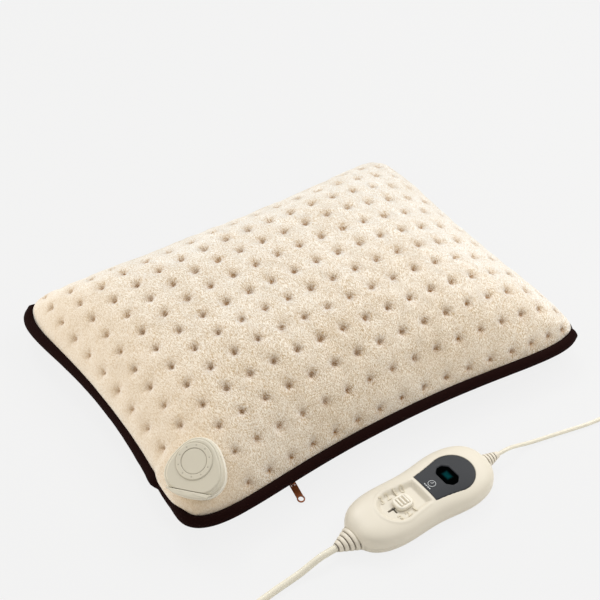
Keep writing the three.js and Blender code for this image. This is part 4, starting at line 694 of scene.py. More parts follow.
def plugRings(length, width, thickness, tailShare, stations=48, sides=72):
    rings = []
    for t in np.linspace(0, 1, stations):
        grown = min(1, t / plug["swellShare"])
        swell = tailShare + (1 - tailShare) * float(smoothStep(grown))
        depth = tailShare + (1 - tailShare) * math.sqrt(grown)
        rings.append(superRing(length * t, width / 2 * swell, thickness / 2 * depth, plug["power"], sides))
    for k in range(1, plug["faceSteps"] + 1):
        drawn = plug["faceDraw"] * (1 - math.cos(math.pi / 2 * k / plug["faceSteps"]))
        halfWide, halfThick = width / 2 * (1 - drawn), thickness / 2 * (1 - 2 * drawn)
        rings.append(superRing(length, halfWide, halfThick, plug["power"], sides))
    return np.array(rings)


def superRing(x, halfWide, halfThick, power, sides):
    turns = 2 * np.pi * (np.arange(sides) + 0.5) / sides
    c, s = np.cos(turns), np.sin(turns)
    return [(x, halfWide * np.sign(a) * abs(a) ** (2 / power), halfThick * np.sign(b) * abs(b) ** (2 / power))
            for a, b in zip(c, s)]


def rodRings(radius, start, end, tip, sides=24):
    rings = [(start, 0.7 * radius), (start, radius)]
    rings += [(end - tip + tip * math.sin(a), radius * (1 - 0.45 * (1 - math.cos(a))))
              for a in np.linspace(0, math.pi / 2, 6)]
    return np.array([[(x, r * math.cos(t), r * math.sin(t)) for t in 2 * np.pi * np.arange(sides) / sides]
                     for x, r in rings])


plugFrame = Matrix.Translation((-149.5, -277.1, 7)) @ Matrix.Rotation(math.radians(-10), 4, "Z")
plugBoot = buildBoot("plugBoot", turnedBack(plugFrame, (24.3, 0, 0)), "boot_vinyl", ["plug_boot"],
                     radius=4.6, tipRadius=2.8, length=24.0, ribs=4)
plugBodyRings = placed(plugRings(35.0, 26.0, 13.6, 0.42), plugFrame @ Matrix.Translation((24.6, 0, 0)))
plugBody = finishPiece(loft("plugBody", plugBodyRings), finishes["case"], ["plug_body"])
for number, side in ((1, -1), (2, 1)):
    pin = loft(f"plugPin{number}", placed(rodRings(2.0, 59.9, 78.9, 1.2),
                                          plugFrame @ Matrix.Translation((0, side * 9.3, 0))))
    finishPiece(pin, finishes["pin"], [f"plug_pin_{number}"])

connectorFrame = Matrix.Translation((191.2, -239, 4.1)) @ Matrix.Rotation(math.radians(-90), 4, "Z")
connectorBoot = buildBoot("connectorBoot", turnedBack(connectorFrame, (12.3, 0, 0)), "boot_vinyl",
                          ["connector_boot"], radius=2.9, tipRadius=1.8, length=12.0, ribs=4)
tongue = [superRing(x, halfWide, halfThick, 6.0, 72)
          for x, halfWide, halfThick in ((22.0, 5.6, 1.3), (29.4, 5.6, 1.3), (29.9, 5.2, 1.0))]
connectorRings = placed(np.concatenate([plugRings(22.0, 20.0, 8.0, 0.36), np.array(tongue)]),
                        connectorFrame @ Matrix.Translation((12.6, 0, 0)))
connectorBody = loft("connectorBody", connectorRings, sharp=50)
finishPiece(connectorBody, finishes["case"], ["connector_body"])

print("leads laid")


# Cushion: the outline and crown are those of the solids
cushion = {
    "width": 400.0, "depth": 310.0, "cornerPower": 4.83, "sideDraw": 0.173, "frontDraw": 0.208,
    "drawPower": 2.24, "rimPower": 4.0, "cornerFade": 7.7, "sideFade": 8.0, "frontFade": 1.85,
    "crown": 80.5, "seam": 19.4, "lengthPower": 3.57, "lengthBluntness": 1.5, "crossPower": 2.78,
    "crossBluntness": 1.05, "archBlend": 3.2, "underPower": 3.65, "underBluntness": 0.73, "sag": 30.0,
    "columns": 18, "rows": 13, "reach": (0.86, 0.912), "shift": (0.012, -0.025), "edgeInset": 2.5,
    "startSink": 1.0, "tuftPull": 1.6, "tuftPit": 1.6, "pitWidth": 1.4, "basin": 1.0, "basinWidth": 5.0,
    "puffLimit": 6.0, "pressure": 4.0, "frames": 20, "coarse": 4,
    "brushedEdge": -172.0, "brushedWidth": 80.0, "brushedLeast": 0.3,
    "bulgeOut": 1.9, "bulgeUp": 0.2, "bulgePlace": 8.0, "bulgeLeft": 0.9, "bulgeFront": 0.1, "bulgeFade": 9.0,
    "rays": 5, "rayHeight": 0.3, "rayPlace": 3.4, "rayWidth": 1.8,
    "pitPaintedShade": (0.66, 1.6), "ringPaintedShade": (0.32, 4.6), "seed": 5,
    "lumpPitch": 20.3, "lumps": ((0.45, 1, 9.0), (0.16, 2, 3.2)), "heldHeight": 0.5, "heldBeyond": 95.0,
}
socket = {
    "place": (-153.5, -101.3, 41.6), "normal": (-0.426, -0.29, 0.844), "centre": (2.0, -2.5),
    "radius": 21.2, "lobe": 0.07, "lobeTurn": math.radians(45), "sink": 2.2, "baseTop": 1.6, "top": 7.6,
    "capCentre": (4.3, 1.5), "capRadius": 12.6, "capRise": 0.6, "discRadius": 8.9, "discDrop": 0.22,
    "discGroove": 0.5, "capGroove": 0.22, "grooveOut": 0.35, "dots": 10, "dotRing": 10.9, "dotRadius": 0.42,
    "dotDepth": 0.35, "firstDot": math.radians(14), "dotShade": 0.8, "discShade": 0.85, "capShade": 0.35,
    "shadeWidth": 0.22,
    "mouthTurn": math.radians(225), "mouthStart": 8.0, "mouthEnd": 40.0, "mouthLow": 1.0, "mouthHigh": 5.3,
    "mouthHalf": 6.0, "latchPlace": 15.6, "latchLow": 5.8, "latchGap": 0.16, "latchSeat": 4.6,
    "seatEase": 0.15, "ridgeHeight": 0.25, "ridgePlace": 3.0, "ridgeWidth": 1.6,
    "toothTurn": math.radians(-99), "toothReach": 1.1, "toothWidth": 2.6, "tuftReach": 25.0,
    "hollowEdge": 0.6, "hollowSlope": 0.75, "hollowDepth": 0.3,
}


# Place on the plan for u and v from -1 to 1; rounding and draw hold at the seam and fade towards the middle
def seamPlan(u, v, inset, fades=(0.0, 0.0, 0.0)):
    c = cushion
    ring = np.maximum(np.abs(u), np.abs(v))
    turned = (np.abs(u) ** c["cornerPower"] + np.abs(v) ** c["cornerPower"]) ** (1 / c["cornerPower"])
    toRim = (np.maximum(1 - np.abs(u), 1e-9) ** -c["rimPower"]
             + np.maximum(1 - np.abs(v), 1e-9) ** -c["rimPower"]) ** (-1 / c["rimPower"])
    corner, side, front = [(1 - toRim) ** fade for fade in fades]
    share = 1 - (1 - np.divide(ring, turned, out=np.ones_like(ring), where=turned > 0)) * corner
    x, y = u * share, v * share
    seamX = c["width"] / 2 * x * (1 - c["sideDraw"] * side * (1 - np.abs(y) ** c["drawPower"]))
    seamY = c["depth"] / 2 * y * (1 - c["frontDraw"] * front * (1 - np.abs(x) ** c["drawPower"]))
    return (seamX * (1 - inset / (c["width"] / 2 * (1 - c["sideDraw"]))),
            seamY * (1 - inset / (c["depth"] / 2 * (1 - c["frontDraw"]))))


def arch(share, power, bluntness):
    return np.maximum(1 - np.abs(share) ** power, 1e-9) ** bluntness


# Rise from 0 at the seam to 1 in the middle: the lower of two arches, blended
def crownRise(u, v):
    c = cushion
    along = arch(u, c["lengthPower"], c["lengthBluntness"])
    across = arch(v, c["crossPower"], c["crossBluntness"])
    rise = (along ** -c["archBlend"] + across ** -c["archBlend"] - 1) ** (-1 / c["archBlend"])
    return np.where(rise < 1e-4, 0.0, rise)


def crownPoints(u, v, sink):
    c = cushion
    rise = crownRise(u, v)
    x, y = seamPlan(u, v, c["edgeInset"] + sink * rise, (c["cornerFade"], c["sideFade"], c["frontFade"]))
    return np.stack([x, y, c["seam"] + (c["crown"] - sink * (rise > 0) - c["seam"]) * rise], -1)


def underPoints(u, v):
    c = cushion
    x, y = seamPlan(u, v, c["edgeInset"])
    drop = arch(u, c["underPower"], c["underBluntness"]) * arch(v, c["underPower"], c["underBluntness"])
    return np.stack([x, y, np.maximum(0, c["seam"] - c["sag"] * np.where(drop < 1e-4, 0.0, drop))], -1)


# Share of the half width (side 0) or half depth (side 1) at a place in quilt steps; the rim lies beyond
def quiltShare(steps, side):
    c = cushion
    half = ((c["columns"], c["rows"])[side] - 1) / 2
    inner = c["shift"][side] + c["reach"][side] * np.clip(steps, -half, half) / half
    beyond = np.clip(np.abs(steps) - half, 0, 1)
    rim = np.sign(steps)
    return inner + (rim - inner) * beyond


socketNormal = Vector(socket["normal"]).normalized()
socketAlong = (Vector((1, 0, 0)) - socketNormal * socketNormal.x).normalized()
socketAcross = socketNormal.cross(socketAlong)
socketFrame = Matrix.Translation(socket["place"]) @ Matrix((
    (socketAlong.x, socketAcross.x, socketNormal.x, 0), (socketAlong.y, socketAcross.y, socketNormal.y, 0),
    (socketAlong.z, socketAcross.z, socketNormal.z, 0), (0, 0, 0, 1)))


def socketRadiusAt(angle):
    return socket["radius"] * (1 + socket["lobe"] * np.cos(3 * (angle - socket["lobeTurn"])))


tuftList = []
for column in np.arange(cushion["columns"]) - (cushion["columns"] - 1) / 2:
    for row in np.arange(cushion["rows"]) - (cushion["rows"] - 1) / 2:
        place = crownPoints(quiltShare(column, 0), quiltShare(row, 1), 0.0)
        local = inFrame(place[None], socketFrame)[0]
        away = math.hypot(local[0] - socket["centre"][0], local[1] - socket["centre"][1])
        if max(away, abs(local[2])) > socket["tuftReach"]:
            tuftList.append((column, row))


# Grid lines in steps of the quilt, one step past the outermost tufts at both ends
def quiltLines(count, cells):
    half = (count + 1) / 2
    return np.linspace(-half, half, (count + 1) * cells + 1)


# Closed skin of two grids that share their rim: points, faces, the rim and each grid's point numbers
def closedSkin(top, under):
    rows, columns = top.shape[:2]
    rim = np.zeros((rows, columns), bool)
    rim[0, :] = rim[-1, :] = rim[:, 0] = rim[:, -1] = True
    topIndex = np.arange(rows * columns).reshape(rows, columns)
    underIndex = topIndex.copy()
    underIndex[~rim] = rows * columns + np.arange((~rim).sum())
    faces = []
    for index, flip in ((topIndex, False), (underIndex, True)):
        quads = np.stack([index[:-1, :-1], index[:-1, 1:], index[1:, 1:], index[1:, :-1]], -1).reshape(-1, 4)
        faces += (quads[:, ::-1] if flip else quads).tolist()
    return np.vstack([top.reshape(-1, 3), under[~rim]]), faces, rim, topIndex, underIndex


# Cloth simulation of the coarse cushion: the seam, the tufts and the flat underside are held
def swellCushion(columnIndex, rowIndex):
    c = cushion
    uGrid, vGrid = np.meshgrid(quiltShare(columnIndex, 0), quiltShare(rowIndex, 1))
    top = crownPoints(uGrid, vGrid, c["startSink"])
    under = underPoints(uGrid, vGrid)
    pins = np.zeros(uGrid.shape, bool)
    for column, row in tuftList:
        i = int(np.argmin(np.abs(columnIndex - column)))
        j = int(np.argmin(np.abs(rowIndex - row)))
        pins[j, i] = True
    sunk = crownPoints(uGrid, vGrid, c["startSink"] + c["tuftPull"])
    top[pins] = sunk[pins]
    points, faces, rim, topIndex, underIndex = closedSkin(top, under)
    obj = addMesh("swelling", points, faces)
    held = obj.vertex_groups.new(name="held")
    heldPoints = np.zeros(len(points), bool)
    heldPoints[topIndex[rim]] = True
    heldPoints[topIndex[pins]] = True
    flat = (under[..., 2] < c["heldHeight"]) | (np.abs(under[..., 1]) > c["heldBeyond"])
    heldPoints[underIndex[~rim]] = flat[~rim]
    held.add([int(i) for i in np.nonzero(heldPoints)[0]], 1.0, "REPLACE")
    cloth = obj.modifiers.new("cloth", "CLOTH")
    cloth.settings.use_pressure = True
    cloth.settings.uniform_pressure_force = c["pressure"]
    cloth.settings.effector_weights.gravity = 0
    cloth.settings.vertex_group_mass = "held"
    cloth.settings.quality = 5
    cloth.settings.tension_stiffness = 15
    cloth.settings.compression_stiffness = 15
    cloth.settings.bending_stiffness = 0.5
    scene = bpy.context.scene
    scene.frame_start, scene.frame_end = 1, c["frames"]
    for number in range(1, c["frames"] + 1):
        scene.frame_set(number)
    depsgraph = bpy.context.evaluated_depsgraph_get()
    swollen = obj.evaluated_get(depsgraph).to_mesh()
    result = np.empty(len(points) * 3)
    swollen.vertices.foreach_get("co", result)
    result = result.reshape(-1, 3) / mm
    scene.frame_set(1)
    move = result - points
    size = np.linalg.norm(move, axis=1, keepdims=True)
    move *= np.minimum(1, c["puffLimit"] / np.maximum(size, 1e-9))
    print("cushion swelled by up to", round(float(size.max()), 1), "mm, mean", round(float(size.mean()), 2))
    bpy.data.objects.remove(obj)
    points = points + move
    return points[topIndex], points[underIndex]


# Weights that carry a row of grid values to new places with a smooth curve through them
def curveWeights(places, known):
    weights = np.zeros((len(places), len(known)))
    step = known[1] - known[0]
    last = len(known) - 1
    for n, place in enumerate(places):
        at = (place - known[0]) / step
        k = int(min(max(math.floor(at), 0), last - 1))
        t = at - k
        cubic = (0.5 * (-t + 2 * t * t - t ** 3), 0.5 * (2 - 5 * t * t + 3 * t ** 3),
                 0.5 * (t + 4 * t * t - 3 * t ** 3), 0.5 * (-t * t + t ** 3))
        for shift, value in zip((-1, 0, 1, 2), cubic):
            weights[n, min(max(k + shift, 0), last)] += value
    return weights


# Grid lines that crowd round the tufts
def fineLines(count):
    offsets = (-0.5, -0.38, -0.27, -0.18, -0.11, -0.05, 0.0, 0.05, 0.11, 0.18, 0.27, 0.38)
    tufts = np.arange(count) - (count - 1) / 2
    middle = [k + o for k in tufts for o in offsets]
    half = (count + 1) / 2
    rim = half - np.array([0.0, 0.03, 0.08, 0.15, 0.24, 0.34, 0.42])
    return np.sort(np.concatenate([-rim, middle, rim, [half - 0.5]]))


# Smooth noise about 0: a sum of waves in random directions
def smoothNoise(points, seed, size, count=24):
    random = np.random.default_rng(seed)
    waves = random.normal(size=(count, points.shape[1])) / size
    phases = random.uniform(0, 2 * np.pi, count)
    return np.cos(points @ waves.T + phases).sum(1) / math.sqrt(count)


def gridNormals(grid):
    normal = np.cross(np.gradient(grid, axis=1), np.gradient(grid, axis=0))
    return normal / np.maximum(np.linalg.norm(normal, axis=-1, keepdims=True), 1e-9)


# The filling pushes the fleece out over the piping at the back and the right, less at the left
def bulge(u, v):
    c = cushion
    fromSide, fromFront = (1 - np.abs(u)) * c["width"] * 0.41, (1 - np.abs(v)) * c["depth"] * 0.4
    side, front = np.exp(-fromSide / c["bulgeFade"]), np.exp(-fromFront / c["bulgeFade"])
    nearest = -c["bulgeFade"] * np.log(np.maximum(side + front - side * front, 1e-9))
    inward = nearest / c["bulgePlace"]
    swell = inward * np.exp(1 - inward)
    left = c["bulgeLeft"] * smoothStep((-0.5 - v) / 0.05) * smoothStep((v + 0.95) / 0.3)
    strong = side ** 2 * np.where(u > 0, 1.0, left) + front ** 2 * np.where(v > 0, 1.0, c["bulgeFront"])
    strong = strong / np.maximum(side ** 2 + front ** 2, 1e-12)
    reach = np.maximum(np.hypot(side, front), 1e-9)
    swell = swell * strong
    return np.stack([c["bulgeOut"] * swell * np.sign(u) * side / reach,
                     c["bulgeOut"] * swell * np.sign(v) * front / reach, c["bulgeUp"] * swell], -1)


def buildCushion():
    c = cushion
    columnIndex, rowIndex = quiltLines(c["columns"], c["coarse"]), quiltLines(c["rows"], c["coarse"])
    top, under = swellCushion(columnIndex, rowIndex)
    fineColumns, fineRows = fineLines(c["columns"]), fineLines(c["rows"])
    wide, long = curveWeights(fineColumns, columnIndex), curveWeights(fineRows, rowIndex)
    top = np.einsum("ja,abk,ib->jik", long, top, wide)
    under = np.einsum("ja,abk,ib->jik", long, under, wide)
    columnGrid, rowGrid = np.meshgrid(fineColumns, fineRows)
    top = top + bulge(quiltShare(columnGrid, 0), quiltShare(rowGrid, 1))
    normal = gridNormals(top)
    pits = np.zeros(columnGrid.shape)
    tuftShadeMask = np.zeros(columnGrid.shape)
    random = np.random.default_rng(c["seed"])
    for column, row in tuftList:
        centre = top[int(np.argmin(np.abs(fineRows - row))), int(np.argmin(np.abs(fineColumns - column)))]
        reach = (np.abs(columnGrid - column) < 0.75) & (np.abs(rowGrid - row) < 0.75)
        offset = top[reach] - centre
        distance = np.linalg.norm(offset, axis=1)
        turn = np.arctan2(offset[:, 1], offset[:, 0])
        phase, depth = random.uniform(0, 6.3), random.uniform(0.85, 1.15)
        rays = c["rayHeight"] * np.cos(c["rays"] * turn + phase)
        rays *= bump(distance - c["rayPlace"], c["rayWidth"])
        basin = c["basin"] * bump(distance, c["basinWidth"])
        pits[reach] += depth * (c["tuftPit"] * bump(distance, c["pitWidth"]) + basin) + rays
        # Painted shade round each tuft: a dark core and a softer ring
        paintedTuftShade = sum(share * bump(distance, width) for share, width in (c["pitPaintedShade"], c["ringPaintedShade"]))
        tuftShadeMask[reach] = np.maximum(tuftShadeMask[reach], paintedTuftShade)
    flat = (np.stack([columnGrid, rowGrid], -1) * c["lumpPitch"]).reshape(-1, 2)
    fade = np.minimum(1, 4 * crownRise(quiltShare(columnGrid, 0), quiltShare(rowGrid, 1)))
    lumps = sum(height * smoothNoise(flat, seed, size) for height, seed, size in c["lumps"])
    top = top + normal * (lumps.reshape(fade.shape) * fade - pits)[..., None]
    points, faces = closedSkin(pressUnderSocket(top), clearOfZip(under))[:2]
    obj = addMesh("fleeceCushion", points, faces)
    # The tuft mask carries this painted shade to the fleece finish
    setMask(obj, "tuft", np.concatenate([tuftShadeMask.ravel(), np.zeros(len(points) - tuftShadeMask.size)]))
    upright = smoothStep((points[:, 0] - c["brushedEdge"]) / c["brushedWidth"])
    setMask(obj, "raised", c["brushedLeast"] + (1 - c["brushedLeast"]) * upright)
    finishPiece(obj, finishes["fleece"], ["cover_top", "cover_bottom"])
    print("cushion points", len(points))
    return obj


# The plate sits in a shallow hollow of the fleece
def pressUnderSocket(grid):
    local = inFrame(grid.reshape(-1, 3), socketFrame)
    x, y = local[:, 0] - socket["centre"][0], local[:, 1] - socket["centre"][1]
    past = np.hypot(x, y) - socketRadiusAt(np.arctan2(y, x))
    floor = -socket["sink"] - socket["hollowDepth"]
    limit = floor + np.maximum(past - socket["hollowEdge"], 0) * socket["hollowSlope"]
    near = (past < 9) & (np.abs(local[:, 2]) < 20)
    sunk = np.minimum(local[:, 2], limit)
    local[near, 2] = sunk[near]
    return placed(local, socketFrame).reshape(grid.shape)


# Zip under the front seam, an arc about a far centre
zipLine = {
    "radius": 627.0, "centreY": -736.76, "height": 10.1, "tilt": math.radians(40.6), "start": -105.0,
    "end": 96.0, "sliderX": -88.0, "tapeWidth": 4.0, "tapeThickness": 0.8, "chainWidth": 3.4,
    "toothPitch": 1.6, "toothShift": 0.35, "chainGap": 0.3,
    "clearHalf": 5.9, "clearEnds": 3.0, "clearReach": 2.5, "clearDepth": 0.4, "clearSlope": 0.9,
}


def zipPoints(x, across, out):
    z = zipLine
    turn = np.arcsin(np.asarray(x, float) / z["radius"])
    rim = z["radius"] - across * math.cos(z["tilt"]) - out * math.sin(z["tilt"])
    height = z["height"] + across * math.sin(z["tilt"]) - out * math.cos(z["tilt"])
    return np.stack(np.broadcast_arrays(rim * np.sin(turn), z["centreY"] + rim * np.cos(turn), height), -1)


def clearOfZip(grid):
    z = zipLine
    points = grid.reshape(-1, 3).copy()
    reach = np.hypot(points[:, 0], points[:, 1] - z["centreY"])
    angle = np.arctan2(points[:, 0], points[:, 1] - z["centreY"])
    x = z["radius"] * np.sin(angle)
    dr, dz = reach - z["radius"], points[:, 2] - z["height"]
    across = -dr * math.cos(z["tilt"]) + dz * math.sin(z["tilt"])
    out = -dr * math.sin(z["tilt"]) - dz * math.cos(z["tilt"])
    pastEnds = np.maximum(z["start"] - z["clearEnds"] - x, x - z["end"] - z["clearEnds"])
    edge = np.maximum(np.abs(across) - z["clearHalf"], pastEnds)
    near = (edge < z["clearReach"]) & (np.abs(out) < 9)
    limit = -z["clearDepth"] + np.clip(edge, 0, 3) * z["clearSlope"]
    newOut = np.where(near, np.minimum(out, limit), out)
    moved = zipPoints(x, across, newOut)
    points[near] = moved[near]
    return points.reshape(grid.shape)


buildCushion()


# Piping: a cloth-covered cord along the seam, with the cloth's joint on the left side
piping = {
    "diameter": 8.6, "stations": 560, "sides": 18, "tuck": 4.0, "tuckFull": 0.7, "waver": 0.008,
    "jointPlace": (-165.0, -66.0), "jointRise": 0.35, "jointDip": 0.5, "jointWidth": 3.0, "dipPlace": 6.0,
}


def buildPiping():
    side = piping["stations"] // 4
    shares = np.tan(np.pi / 4 * (2 * np.arange(side) / side - 1))
    one = np.ones(side)
    us = np.concatenate([shares, one, -shares, -one])
    vs = np.concatenate([-one, shares, one, -shares])
    x, y = seamPlan(us, vs, 0.0)
    over = bulge(us * 0.99, vs * 0.99)
    tuck = piping["tuck"] * np.minimum(np.linalg.norm(over, axis=1) / piping["tuckFull"], 1)[:, None]
    drawn = over[:, :2] / np.maximum(np.linalg.norm(over[:, :2], axis=1, keepdims=True), 1e-9)
    points = np.column_stack([np.column_stack([x, y]) - drawn * tuck, cushion["seam"] - tuck[:, 0] * 0.5])
    angle = np.arange(len(x)) / len(x) * 2 * np.pi
    noise = smoothNoise(np.column_stack([np.cos(angle), np.sin(angle)]), 7, 0.02)
    gap = np.hypot(x - piping["jointPlace"][0], y - piping["jointPlace"][1])
    joint = piping["jointRise"] * bump(gap, piping["jointWidth"])
    joint -= piping["jointDip"] * bump(gap - piping["dipPlace"], piping["jointWidth"])
    radius = piping["diameter"] / 2 * (1 + piping["waver"] * noise) + joint * 0.6
    rings = tubeRings(points, radius, piping["sides"], endless=True)
    obj = loft("darkPiping", rings, endless=True)
    return finishPiece(obj, finishes["piping"], ["piping"])


buildPiping()


def buildTape(name, low, high, node):
    full = zipLine["tapeThickness"]
    rings = []
    for k, x in enumerate(zipStations):
        wave = 0.05 * math.sin(k * 0.9)
        section = ((low, 0.1), (low + 0.15, 0), (high - 0.15, 0), (high, 0.1),
                   (high, full - 0.2 + wave), (high - 0.3, full), (low + 0.3, full), (low, full - 0.1))
        rings.append([zipPoints(x, across, out) for across, out in section])
    finishPiece(loft(name, rings, sharp=50), finishes["tape"], [node])


# Closed teeth, each a tapered block, set to either side in turn along a thin cord
tooth = {
    "foot": (0.5, 1.25, 0.25), "tip": (0.35, 1.1, 1.5),
    "cord": ((-0.9, 0.1), (0.9, 0.1), (0.9, 0.7), (-0.9, 0.7)),
    "faces": ((0, 3, 2, 1), (4, 5, 6, 7), (0, 1, 5, 4), (1, 2, 6, 5), (2, 3, 7, 6), (3, 0, 4, 7)),
}
zipStations = np.linspace(zipLine["start"], zipLine["end"], 120)


def buildTeeth():
    z = zipLine
    points, faces = [], []
    for k in range(int((z["end"] - z["start"]) / z["toothPitch"])):
        x = z["start"] + (k + 0.5) * z["toothPitch"]
        shift = z["toothShift"] if k % 2 else -z["toothShift"]
        base = len(points)
        for halfLong, halfWide, out in (tooth["foot"], tooth["tip"]):
            for along, across in ((-1, -1), (1, -1), (1, 1), (-1, 1)):
                points.append(zipPoints(x + along * halfLong, across * halfWide + shift, out))
        faces += [[base + i for i in face] for face in tooth["faces"]]
    cordRings = [[zipPoints(x, across, out) for across, out in tooth["cord"]] for x in zipStations]
    base = len(points)
    index = base + np.arange(len(zipStations) * 4).reshape(-1, 4)
    points += [p for ring in cordRings for p in ring]
    a, b = index[:-1], index[1:]
    faces += np.stack([a, np.roll(a, -1, 1), np.roll(b, -1, 1), b], -1).reshape(-1, 4).tolist()
    faces += [index[0][::-1].tolist(), index[-1].tolist()]
    teeth = addMesh("zipTeeth", np.array(points), faces, smooth=False)
    finishPiece(teeth, finishes["teeth"], ["zip_chain"])


tapeEdge = zipLine["chainWidth"] / 2 + zipLine["chainGap"]
buildTape("zipTapeUpper", tapeEdge, tapeEdge + zipLine["tapeWidth"], "zip_tape_upper")
buildTape("zipTapeLower", -tapeEdge - zipLine["tapeWidth"], -tapeEdge, "zip_tape_lower")
buildTeeth()


# Zip pull: a flat tab that widens to a rounded end with a hole, on a bar through the link
pull = {
    "bar": (-87.113, -122.222, 4.744), "slope": math.radians(11.5), "turn": math.radians(-14),
    "length": 13.5, "width": 5.0, "shoulder": -0.5, "endRadius": 2.9, "holeRadius": 2.0, "thickness": 1.1,
    "eye": 1.9, "wire": 0.9, "eased": 0.25, "sideRate": 1.35, "neckShare": 0.26, "cutReach": 2.0,
}


# Points round the tab: over its rounded end, then down one side, across the neck and up the other
def tabOutline(inset, sides=96):
    p = pull
    half, end = p["width"] / 2 - inset, p["endRadius"] - inset
    start, neck = p["length"] + end * p["shoulder"], inset - p["wire"] / 2
    points = []
    for turn in 2 * np.pi * np.arange(sides) / sides:
        if math.cos(turn) > p["shoulder"]:
            points.append((p["length"] + end * math.cos(turn), end * math.sin(turn)))
            continue
        t = max(-1.0, min(1.0, (turn - math.pi) / (math.pi - math.acos(p["shoulder"]))))
        down = min(1.0, (1 - abs(t)) * p["sideRate"])
        points.append((start + (neck - start) * down, -half * max(-1.0, min(1.0, t / p["neckShare"]))))
    return np.array(points)


def buildPull():
    p = pull
    heading = -math.pi / 2 - math.asin(zipLine["sliderX"] / zipLine["radius"])
    place = (Matrix.Translation(p["bar"]) @ Matrix.Rotation(heading, 4, "Z")
             @ Matrix.Rotation(p["turn"], 4, "Z") @ Matrix.Rotation(p["slope"], 4, "Y"))
    high = p["thickness"] / 2
    rings = [flatRing(tabOutline(inset), z) for z, inset in (
        (-high, p["eased"]), (p["eased"] - high, 0), (high - p["eased"], 0), (high, p["eased"]))]
    tab = loft("zipPull", placed(rings, place), sharp=40)
    turns = 2 * np.pi * np.arange(40) / 40
    hole = np.column_stack([p["length"] + p["holeRadius"] * np.cos(turns), p["holeRadius"] * np.sin(turns)])
    near, far, side = p["wire"] / 2, p["wire"] / 2 + p["eye"], p["width"] / 2 - p["wire"]
    eye = np.array([(near, -side), (far, -side), (far, side), (near, side)])
    cutters = []
    for name, outline in (("pullHole", hole), ("pullEye", eye)):
        column = [flatRing(outline, z) for z in (-p["cutReach"], p["cutReach"])]
        cutters.append(loft(name, placed(column, place)))
    cutAway(tab, cutters)
    return finishPiece(tab, finishes["zipMetal"], ["zip_pull"], body="zip_pull_body")


# Takes cutters out of a piece for good
def cutAway(obj, cutters):
    for cutter in cutters:
        modifier = obj.modifiers.new("cut", "BOOLEAN")
        modifier.operation = "DIFFERENCE"
        modifier.solver = "EXACT"
        modifier.object = cutter
    depsgraph = bpy.context.evaluated_depsgraph_get()
    depsgraph.update()
    mesh = bpy.data.meshes.new_from_object(obj.evaluated_get(depsgraph))
    obj.modifiers.clear()
    old, obj.data = obj.data, mesh
    bpy.data.meshes.remove(old)
    for cutter in cutters:
        bpy.data.objects.remove(cutter)
    mesh.set_sharp_from_angle(angle=math.radians(40))


buildPull()
dress("zipMetal", ["zip_slider", "zip_pull_link", "zip_stop_left", "zip_stop_right"])
print("zip made")


# Connector plate: base, housing with ring and disc, and the latch beyond a chord
def socketOutline(offset, count=240):
    angle = 2 * np.pi * np.arange(count) / count
    radius = socketRadiusAt(angle)
    outline = np.column_stack([radius * np.cos(angle), radius * np.sin(angle)]) + socket["centre"]
    return outlineShift(outline, offset)


def towardsMouth(points):
    x, y = points[:, 0] - socket["centre"][0], points[:, 1] - socket["centre"][1]
    return x * math.cos(socket["mouthTurn"]) + y * math.sin(socket["mouthTurn"])


# Side and rounded rim of the housing, from its foot up: insets from its outline, with their heights
housingLevels = [
    (1.2, 1.9), (0.3, 1.9), (0.0, 2.2), (0.0, 4.0), (0.0, 5.6), (0.15, 6.2), (0.45, 6.6), (0.8, 6.85),
    (1.15, 6.95), (1.4, 6.85), (1.55, 6.8), (1.7, 6.95), (1.95, 7.3), (2.25, 7.5), (2.6, 7.6),
]


def housingRings():
    s = socket
    outline = socketOutline(-1.0)
    rings = [flatRing(outlineShift(outline, -inset), z) for inset, z in housingLevels]
    edge = rings[-1][:, :2]
    centre = np.array(s["capCentre"])
    shares = np.linspace(0, 1, 92)[1:-1]
    rings += [flatRing(edge + (centre - edge) * share, s["top"]) for share in shares]
    rings = np.array(rings)
    flat = rings.reshape(-1, 3)
    fromCap = np.hypot(flat[:, 0] - centre[0], flat[:, 1] - centre[1])
    top = flat[:, 2] > s["top"] - 0.05
    fromDisc, fromGroove = fromCap - s["discRadius"], fromCap - s["capRadius"] - s["grooveOut"]
    cap = s["capRise"] * smoothStep((s["capRadius"] + 0.25 - fromCap) / 0.5)
    disc = -s["discDrop"] * smoothStep(-fromDisc / 0.4)
    groove = -s["discGroove"] * bump(fromDisc, 0.24)
    outerGroove = -s["capGroove"] * bump(fromGroove, 0.25)
    pit = np.zeros(len(flat))
    for k in range(s["dots"]):
        turn = s["firstDot"] + 2 * math.pi * k / s["dots"]
        dot = centre + s["dotRing"] * np.array([math.cos(turn), math.sin(turn)])
        pit = np.maximum(pit, bump(np.hypot(flat[:, 0] - dot[0], flat[:, 1] - dot[1]), s["dotRadius"]))
    flat[top, 2] += (cap + disc + groove + outerGroove - s["dotDepth"] * pit)[top]
    low = smoothStep((towardsMouth(flat) - s["latchPlace"]) / s["seatEase"] + 1)
    seated = np.minimum(flat[:, 2], s["latchSeat"])
    flat[:, 2] += (seated - flat[:, 2]) * low
    # Painted shade in the dots and in the grooves round the disc and the cap, carried by the pit mask
    shade = np.maximum(s["dotShade"] * pit, s["discShade"] * bump(fromDisc, s["shadeWidth"]))
    shade = np.maximum(shade, s["capShade"] * bump(fromGroove, s["shadeWidth"]))
    return flat.reshape(rings.shape), shade * top


